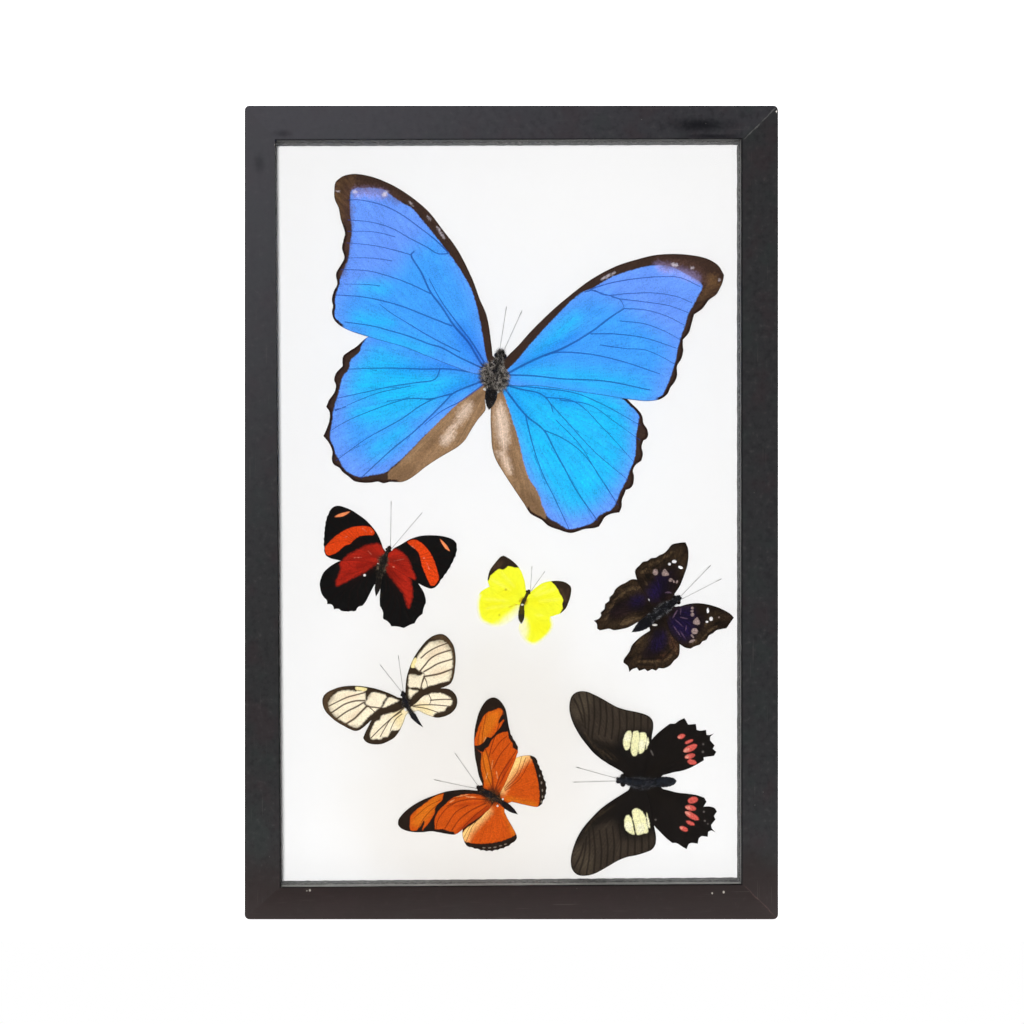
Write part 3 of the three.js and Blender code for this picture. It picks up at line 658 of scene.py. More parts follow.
def wing_triangles(outline, lines, marks, step):
    """Points and triangles that fill a wing, with rows of points along its veins and markings."""
    taken = [tuple(p) for p in outline]
    fixed = []
    for line, widths, kept in lines:
        heading = np.gradient(line, axis=0)
        heading /= np.maximum(np.linalg.norm(heading, axis=1)[:, None], 1e-9)
        side = np.column_stack([-heading[:, 1], heading[:, 0]])
        for shift in (0.0, 1.5, -1.5):
            row = line + side * (widths * shift)[:, None]
            within = kept & inside(row, outline) & (distance(row, outline, closed=True) > 0.12)
            fixed += [tuple(p) for p in row[within]]
    for polygon in marks:
        within = inside(polygon, outline) & (distance(polygon, outline, closed=True) > 0.12)
        middle = polygon.mean(axis=0)
        fixed += [tuple(p) for p in polygon[within]]
        if np.ptp(polygon, axis=0).max() < 8 * step:
            fixed += [tuple(p) for p in ((polygon + middle) / 2)[within][::2]]
    own = thin_out(fixed, taken, step * 0.33)
    low, high = outline.min(axis=0), outline.max(axis=0)
    rows = np.arange(low[1], high[1], step * 0.866)
    lattice = []
    for i, z in enumerate(rows):
        xs = np.arange(low[0] + (i % 2) * step / 2, high[0], step)
        lattice.append(np.column_stack([xs, np.full(len(xs), z)]))
    lattice = np.vstack(lattice)
    lattice = lattice[inside(lattice, outline)]
    filling = thin_out([tuple(p) for p in lattice], taken + own, step * 0.55)
    points = [Vector(p) for p in taken + own + filling]
    ring = list(range(len(taken)))
    found = geometry.delaunay_2d_cdt(points, [], [ring], 1, 1e-6, True)
    flat = np.array([tuple(p) for p in found[0]])
    triangles = np.array([tuple(t) for t in found[2]])
    return flat, triangles[inside(flat[triangles].mean(axis=1), outline)]


def wing_piece(species, look, wing, settings):
    """One wing as a thin closed sheet with raised veins and folds between them."""
    node = f"{species}_{wing}"
    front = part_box(node)[0][1] / MM
    outline = round_off(node_outline(node), look.mesh_step)
    for teeth in look.teeth.get(wing, []):
        outline = scallop(outline, teeth)
    root = on_board([look.root])[0]
    if wing.endswith("hindwing"):
        forewing = round_off(node_outline(node.replace("hindwing", "forewing")), look.mesh_step)
        widest = max(half for _, _, half in look.spine) * SQUARE
        outline = lap_under(outline, forewing, root, 2.2 * widest)
    outline = tuck_in(outline, look)
    lines = vein_lines(look, wing, outline, root)
    marks = {
        name: [smooth_line(on_board(m), look.mesh_step, closed=True)
               for m in look.marks.get(wing, {}).get(name, [])]
        for name in ["margin"] + [layer.name for layer in look.layers]
    }
    every_mark = [polygon for polygons in marks.values() for polygon in polygons]
    flat, triangles = wing_triangles(outline, lines, every_mark, look.mesh_step)

    edge = distance(flat, outline, closed=True)
    vein = np.full(len(flat), 9.0)
    for line, widths, _ in lines:
        faint = 0.9 if widths[0] < 0.1 else 0.0
        vein = np.minimum(vein, distance(flat, line, widths=widths) + faint)
    ridge = np.clip(1 - vein / 1.5, 0, 1) * settings.vein_height
    fold = settings.fold_depth * (1 - np.exp(-(vein / 6) ** 2)) * np.clip(edge / 1.5, 0, 1)
    phase = len(species) * 1.7
    wave = (np.sin(flat[:, 0] / 6.1 + phase) + np.sin(flat[:, 1] / 7.3 + flat[:, 0] / 11 + phase)) / 2
    sheet = wave * settings.warp
    top = front + settings.warp + 0.02 + sheet + fold - ridge
    bottom = np.maximum(front + settings.warp + 0.02 + sheet + fold, top) + settings.thickness

    count = len(flat)
    vertices = np.vstack([
        np.column_stack([flat[:, 0], top, flat[:, 1]]),
        np.column_stack([flat[:, 0], bottom, flat[:, 1]]),
    ])
    a, b, c = (flat[triangles[:, i]] for i in range(3))
    turn = np.cross(b - a, c - a)
    triangles[turn < 0] = triangles[turn < 0][:, ::-1]
    ways = {(a, b) for t in triangles.tolist() for a, b in zip(t, t[1:] + t[:1])}
    rim = [(a, b) for a, b in ways if (b, a) not in ways]
    faces = triangles.tolist() + (triangles[:, ::-1] + count).tolist()
    faces += [(a, a + count, b + count, b) for a, b in sorted(rim)]

    piece = mesh_object(f"{node}_scaled", vertices, faces)
    mesh = piece.data
    twice = lambda values: np.concatenate([values, values])
    point_attribute(mesh, "vein", twice(vein))
    point_attribute(mesh, "edge", twice(edge))
    for name, polygons in marks.items():
        field = np.full(count, 9.0)
        for polygon in polygons:
            signed = distance(flat, polygon, closed=True) * np.where(inside(flat, polygon), -1, 1)
            field = np.minimum(field, signed)
        point_attribute(mesh, name, twice(field))
    apart = flat - root
    reach = np.linalg.norm(apart, axis=1)
    heading = flat.mean(axis=0) - root
    bearing = np.arctan2(apart[:, 1], apart[:, 0]) - math.atan2(heading[1], heading[0])
    bearing = (bearing + math.pi) % math.tau - math.pi
    corners = np.zeros(len(mesh.loops), dtype=np.int32)
    mesh.loops.foreach_get("vertex_index", corners)
    rays = twice(np.arange(count)).astype(int)[corners]
    uv = np.column_stack([bearing, reach / 10])[rays]
    mesh.uv_layers.new(name="rays").data.foreach_set("uv", uv.astype(np.float32).ravel())
    return piece


def wing_material(species, look):
    """The scales of one species: a ground colour, its markings, dark veins and a dark rim."""
    material, n = new_material(f"{species}_scales")
    where = n.objects()
    rays = n.add("ShaderNodeUVMap", uv_map="rays").outputs[0]
    streak = n.group(ray_streak_group, Rays=rays, Across=16.0, Along=0.5, Low=0.3, High=0.7)
    thread = n.group(ray_streak_group, Rays=rays, Across=60.0, Along=1.2, Low=0.25, High=0.75)
    masks = {}

    def lay(colour, layer):
        mask = n.group(
            soft_edge_group, Distance=n.attribute(layer.name), Feather=layer.feather,
            Wander=layer.wander, Wander_Size=1100.0, Vector=where)
        if layer.within:
            mask = n.times(mask, masks[layer.within])
        masks[layer.name] = mask
        if layer.streaks:
            lines = n.plus(n.times(streak, 0.65), n.times(thread, 0.35))
            kept = n.plus(1.0 - layer.streaks, n.times(lines, layer.streaks))
            mask = n.times(mask, kept)
        if layer.strength < 1:
            mask = n.times(mask, layer.strength)
        return n.mix(mask, colour, paint(layer.colour))

    colour = paint(look.ground)
    for layer in look.layers:
        if not layer.over_veins:
            colour = lay(colour, layer)
    shade = n.ramp(thread, 0.0, 1.0, 1.0 - look.contrast * 0.2, 1.0 + look.contrast * 0.14)
    tone = n.add("ShaderNodeCombineXYZ", {"X": shade, "Y": shade, "Z": shade}).outputs[0]
    colour = n.mix(1.0, colour, tone, "MULTIPLY")
    vein = n.ramp(n.attribute("vein"), 0.4, 1.9, look.vein_strength, 0.0)
    colour = n.mix(vein, colour, paint(look.vein_tint))
    for layer in look.layers:
        if layer.over_veins:
            colour = lay(colour, layer)
    zone = n.ramp(n.attribute("margin"), -0.8, 0.8, 1.0, 0.0)
    swing = n.minus(n.noise(where, 800.0, 4.0, 0.6), 0.5)
    ragged = n.times(swing, look.margin_width * 1.6 * (1 - look.margin_blur))
    ragged = n.plus(n.attribute("edge"), ragged)
    clear, full = look.margin_width * (1 - look.margin_blur), look.margin_width * (1 + look.margin_blur)
    border = n.ramp(ragged, clear, full, 1.0, 0.0)
    colour = n.mix(n.times(zone, border), colour, paint(look.margin))
    reach = n.add("ShaderNodeSeparateXYZ", {"Vector": rays}).outputs["Y"]
    hairy = n.plus(reach, n.times(n.minus(thread, 0.6), look.root_reach * 0.07))
    base = n.ramp(hairy, look.root_reach * 0.045, look.root_reach * 0.1, 0.9, 0.0)
    colour = n.mix(base, colour, paint(look.root_tint))
    rim = n.ramp(n.attribute("edge"), 0.0, look.rim_width, look.rim_strength, 0.0)
    colour = n.mix(rim, colour, paint(look.rim))
    colour = n.group(
        scale_dust_group, Colour=colour, Contrast=look.contrast, Size=1900.0, Vector=where)
    scales = n.noise(where, 6000.0, 2.0, 0.6)
    rough = n.ramp(scales, 0.3, 0.7, look.gloss - 0.08, look.gloss + 0.1)
    close_material(n, colour, rough, scales, bump=0.25, reach=0.00006, Specular_IOR_Level=0.15)
    return material


# ---- the bodies -------------------------------------------------------------------------------------
def body_frame(look):
    """Rings along the body: centres, half widths, sideways directions and distances, in millimetres."""
    spine = np.asarray(look.spine, dtype=float)
    line = np.column_stack([on_board(spine[:, :2]), spine[:, 2] * SQUARE])
    line = smooth_line(line, 0.16)
    heading = np.gradient(line[:, :2], axis=0)
    heading /= np.maximum(np.linalg.norm(heading, axis=1)[:, None], 1e-9)
    across = np.column_stack([-heading[:, 1], heading[:, 0]])
    along = np.concatenate([[0], np.cumsum(np.linalg.norm(np.diff(line[:, :2], axis=0), axis=1))])
    return line[:, :2], np.maximum(line[:, 2], 0.02), across, heading, along / along[-1]


def tube(path, radii, sides=8):
    """Vertices and faces of a closed round rod along a path in space."""
    heading = np.gradient(path, axis=0)
    heading /= np.linalg.norm(heading, axis=1)[:, None]
    aside = np.cross(heading, [0.0, 1.0, 0.0])
    aside /= np.linalg.norm(aside, axis=1)[:, None]
    up = np.cross(aside, heading)
    angles = np.arange(sides) * math.tau / sides
    rings = path[:, None] + radii[:, None, None] * (
        np.cos(angles)[None, :, None] * aside[:, None] + np.sin(angles)[None, :, None] * up[:, None])
    return rings.reshape(-1, 3), wrap(len(path), sides)


def ball(centre, radii, rings=8, sides=12):
    """Vertices and faces of an oval ball."""
    path = []
    for i in range(rings + 1):
        tilt = math.pi * i / rings
        for j in range(sides):
            turn = math.tau * j / sides
            path.append((
                centre[0] + radii[0] * math.sin(tilt) * math.cos(turn),
                centre[1] + radii[1] * math.sin(tilt) * math.sin(turn),
                centre[2] + radii[2] * math.cos(tilt),
            ))
    faces = []
    for i in range(rings):
        for j in range(sides):
            k = (j + 1) % sides
            faces.append((i * sides + j, (i + 1) * sides + j, (i + 1) * sides + k, i * sides + k))
    return np.array(path), faces


def body_piece(species, look, settings):
    """Head, thorax and segmented abdomen along the spine, with eyes, feelers and lobes."""
    centres, halves, across, heading, share = body_frame(look)
    fattest = halves.max() * 0.8
    sides = 28
    abdomen = np.clip((share - look.thorax[1]) / (1 - look.thorax[1]), 0, 1)
    pinch = 1 - 0.07 * (abdomen > 0) * np.abs(np.sin(abdomen * math.pi * 7)) ** 6
    bare = np.clip(abdomen / 0.12, 0, 1)
    widths = halves * pinch * (settings.core_share + (0.95 - settings.core_share) * bare)
    depths = widths * 0.8
    lift = 0.3 + (np.maximum(halves * 0.8, 0.05) + fattest) / 2
    angles = np.arange(sides) * math.tau / sides
    chest = np.clip((share - look.thorax[0]) / 0.1, 0, 1)
    chest = chest * np.clip((look.thorax[1] + 0.05 - share) / 0.15, 0, 1)
    chest = chest * chest * (3 - 2 * chest)
    shell, tails, furs, reaches = [], [], [], []
    for i, centre in enumerate(centres):
        hairy = 0.02 < share[i] < look.thorax[1] + 0.05
        for angle in angles:
            shell.append((
                centre[0] + across[i][0] * math.cos(angle) * widths[i],
                BOARD_FRONT - lift[i] - math.sin(angle) * depths[i],
                centre[1] + across[i][1] * math.cos(angle) * widths[i],
            ))
            spread = 1.3 * math.cos(angle) * chest[i]
            way = heading[i] * 0.8 + across[i] * spread
            tails.append((way[0], 0.0, way[1]))
            furs.append(1.0 if hairy else 0.15)
            side = look.side_hair * abs(math.cos(angle)) ** 3
            reaches.append((0.75 if hairy else 0.35) + chest[i] * (0.2 + side))
    faces = wrap(len(centres), sides)
    vertices = [np.array(shell)]
    slots = [0] * len(faces)
    count = len(shell)

    def join(part, index, fur=0.0):
        nonlocal count
        points, part_faces = part
        faces.extend(tuple(v + count for v in face) for face in part_faces)
        slots.extend([index] * len(part_faces))
        vertices.append(points)
        tails.extend([(0.0, 0.0, 0.0)] * len(points))
        furs.extend([fur] * len(points))
        reaches.extend([0.6] * len(points))
        count += len(points)

    head = int(np.argmin(abs(share - look.thorax[0] * 0.45)))
    size = halves[head]
    level = BOARD_FRONT - lift[head]
    for side in (-1, 1):
        aside = across[head] * side * size * 0.72
        centre = (centres[head][0] + aside[0], level - size * 0.15, centres[head][1] + aside[1])
        join(ball(centre, (size * 0.45,) * 3), 1)
        palp = centres[head] - heading[head] * size * 0.9 + across[head] * side * size * 0.25
        join(ball((palp[0], level, palp[1]), (size * 0.3, size * 0.3, size * 0.3)), 0, 1.0)
    for start, end in look.antennae:
        (x0, z0), (x1, z1) = on_board([start, end])
        root = np.array([x0, level - size * 0.2, z0])
        tip = np.array([x1, level - size * 0.2 - 0.45, z1])
        t = np.linspace(0, 1, 40)[:, None]
        path = root + (tip - root) * t + np.array([0.0, -0.25, 0.0]) * np.sin(t * math.pi)
        ease = t[:, 0]
        club = np.exp(-((ease - 0.94) / 0.05) ** 2)
        radii = settings.antenna_radius * (1 + 0.12 * np.sin(ease * 260)) + club * settings.club_radius
        radii[-1] *= 0.4
        join(tube(path, radii), 2)
    for x, y, half_wide, half_high in look.drops:
        (across_board, up_board), = on_board([(x, y)])
        aside = np.linalg.norm(centres - (across_board, up_board), axis=1)
        under = int(aside.argmin())
        dome = depths[under] * math.sqrt(max(0.0, 1 - (aside[under] / widths[under]) ** 2))
        height = max(1.5, lift[under] + dome if dome else 0.0)
        centre = (across_board, BOARD_FRONT - height - half_wide * SQUARE * 0.6, up_board)
        join(ball(centre, (half_wide * SQUARE, half_wide * SQUARE * 0.8, half_high * SQUARE)), 4)

    piece = mesh_object(
        f"{species}_furred_body", np.vstack(vertices), faces, body_materials(species, look))
    piece.data.polygons.foreach_set("material_index", slots)
    point_attribute(piece.data, "tail", tails, "FLOAT_VECTOR")
    point_attribute(piece.data, "fur", furs)
    point_attribute(piece.data, "reach", reaches)
    face_outward(piece.data, weld=1e-7)
    return piece


def body_materials(species, look):
    """Skin, eyes, feelers and fur of one body."""
    skin, n = new_material(f"{species}_skin")
    where = n.objects()
    mottle = n.noise(where, 900.0, 4.0)
    colour = n.mix(n.ramp(mottle, 0.35, 0.7), paint(look.skin), paint(look.fur))
    close_material(n, colour, n.ramp(mottle, 0.3, 0.7, 0.45, 0.75), mottle, bump=0.4, reach=0.0002,
                   Specular_IOR_Level=0.25)
    eye, n = new_material(f"{species}_eye")
    facets = n.add("ShaderNodeTexVoronoi", {"Vector": n.objects(), "Scale": 9000.0}).outputs["Distance"]
    colour = n.mix(n.ramp(facets, 0.2, 0.6), paint("#1c1410"), paint("#0c0a09"))
    close_material(n, colour, 0.2, facets, bump=0.2, reach=0.00005)
    feeler, n = new_material(f"{species}_feeler")
    rings = n.noise(n.objects(), 3000.0, 2.0)
    colour = n.mix(n.ramp(rings, 0.4, 0.6), paint("#3c3734"), paint("#6e665f"))
    close_material(n, colour, 0.5)
    fur, n = new_material(f"{species}_fur")
    strands = n.noise(n.objects(), 700.0, 4.0, 0.75)
    colour = n.mix(n.ramp(strands, 0.46, 0.6), paint(look.fur), paint(look.fur_tip))
    close_material(n, colour, n.ramp(strands, 0.3, 0.7, 0.5, 0.75), Specular_IOR_Level=0.2)
    drop, n = new_material(f"{species}_resin_drop")
    cloud = n.noise(n.objects(), 2500.0, 2.0)
    colour = n.mix(n.ramp(cloud, 0.4, 0.6), paint("#f4f2ee"), paint("#dcd6cc"))
    close_material(n, colour, 0.25)
    return [skin, eye, feeler, fur, drop]


def fur_tree(material):
    """Geometry nodes that grow short bent hairs over a body, lying back along its tail direction."""
    tree = bpy.data.node_groups.new("Body Fur", "GeometryNodeTree")
    face = tree.interface
    face.new_socket("Geometry", in_out="INPUT", socket_type="NodeSocketGeometry")
    named = {}
    for label, value in (("Hairs per Square Metre", 8e6), ("Length", 0.001), ("Thickness", 0.00003)):
        socket = face.new_socket(label, in_out="INPUT", socket_type="NodeSocketFloat")
        socket.default_value = value
        named[label] = socket.identifier
    named["Seed"] = face.new_socket("Seed", in_out="INPUT", socket_type="NodeSocketInt").identifier
    face.new_socket("Geometry", in_out="OUTPUT", socket_type="NodeSocketGeometry")
    n = Nodes(tree)
    given = n.add("NodeGroupInput").outputs
    fur = n.add("GeometryNodeInputNamedAttribute", {"Name": "fur"}, data_type="FLOAT")
    tail = n.add("GeometryNodeInputNamedAttribute", {"Name": "tail"}, data_type="FLOAT_VECTOR")
    amount = n.times(given["Hairs per Square Metre"], open_socket(fur.outputs, "Attribute"))
    spots = n.add("GeometryNodeDistributePointsOnFaces", {
        "Mesh": given["Geometry"], "Density": amount, "Seed": given["Seed"],
    })
    random = n.add("FunctionNodeRandomValue", {
        "Min": (-0.45, -0.45, -0.45), "Max": (0.45, 0.45, 0.45), "Seed": given["Seed"],
    }, data_type="FLOAT_VECTOR")
    lean = n.vector("ADD", spots.outputs["Normal"], open_socket(tail.outputs, "Attribute"))
    way = n.vector("ADD", lean, open_socket(random.outputs, "Value"))
    turned = n.add("FunctionNodeAlignRotationToVector", {"Vector": way}, axis="Z")
    size = n.add("FunctionNodeRandomValue", {
        "Min": 0.5, "Max": 1.3, "Seed": given["Seed"],
    }, data_type="FLOAT")
    reach = n.add("GeometryNodeInputNamedAttribute", {"Name": "reach"}, data_type="FLOAT")
    length = n.times(open_socket(size.outputs, "Value"), open_socket(reach.outputs, "Attribute"))
    hair = n.add("GeometryNodeMeshCone", {
        "Vertices": 3, "Side Segments": 2, "Radius Top": 0.000002,
        "Radius Bottom": given["Thickness"], "Depth": given["Length"],
    }, fill_type="NGON")
    place = n.add("GeometryNodeInputPosition").outputs[0]
    height = n.add("ShaderNodeSeparateXYZ", {"Vector": place}).outputs["Z"]
    bent = n.times(n.times(height, height), 220.0)
    push = n.add("ShaderNodeCombineXYZ", {"X": bent}).outputs[0]
    curved = n.add("GeometryNodeSetPosition", {"Geometry": hair.outputs["Mesh"], "Offset": push})
    strands = n.add("GeometryNodeInstanceOnPoints", {
        "Points": spots.outputs["Points"], "Instance": curved.outputs[0],
        "Rotation": turned.outputs[0], "Scale": length,
    })
    real = n.add("GeometryNodeRealizeInstances", {"Geometry": strands.outputs[0]})
    coat = n.add("GeometryNodeSetMaterial", {"Geometry": real.outputs[0], "Material": material})
    both = n.add("GeometryNodeJoinGeometry")
    tree.links.new(coat.outputs[0], both.inputs[0])
    tree.links.new(given["Geometry"], both.inputs[0])
    n.add("NodeGroupOutput", {"Geometry": both.outputs[0]})
    return tree, named


def apply_modifiers(piece):
    """Turns what the modifiers make into the piece's own plain mesh."""
    graph = bpy.context.evaluated_depsgraph_get()
    graph.update()
    result = bpy.data.meshes.new_from_object(
        piece.evaluated_get(graph), preserve_all_data_layers=True, depsgraph=graph)
    piece.modifiers.clear()
    old = piece.data
    piece.data = result
    bpy.data.meshes.remove(old)


def grow_fur(piece, material, length, amount, seed):
    tree, named = fur_tree(material)
    modifier = piece.modifiers.new("Fur", "NODES")
    modifier.node_group = tree
    modifier[named["Hairs per Square Metre"]] = amount
    modifier[named["Length"]] = length * MM
    modifier[named["Thickness"]] = length * MM * 0.035
    modifier[named["Seed"]] = seed
    apply_modifiers(piece)


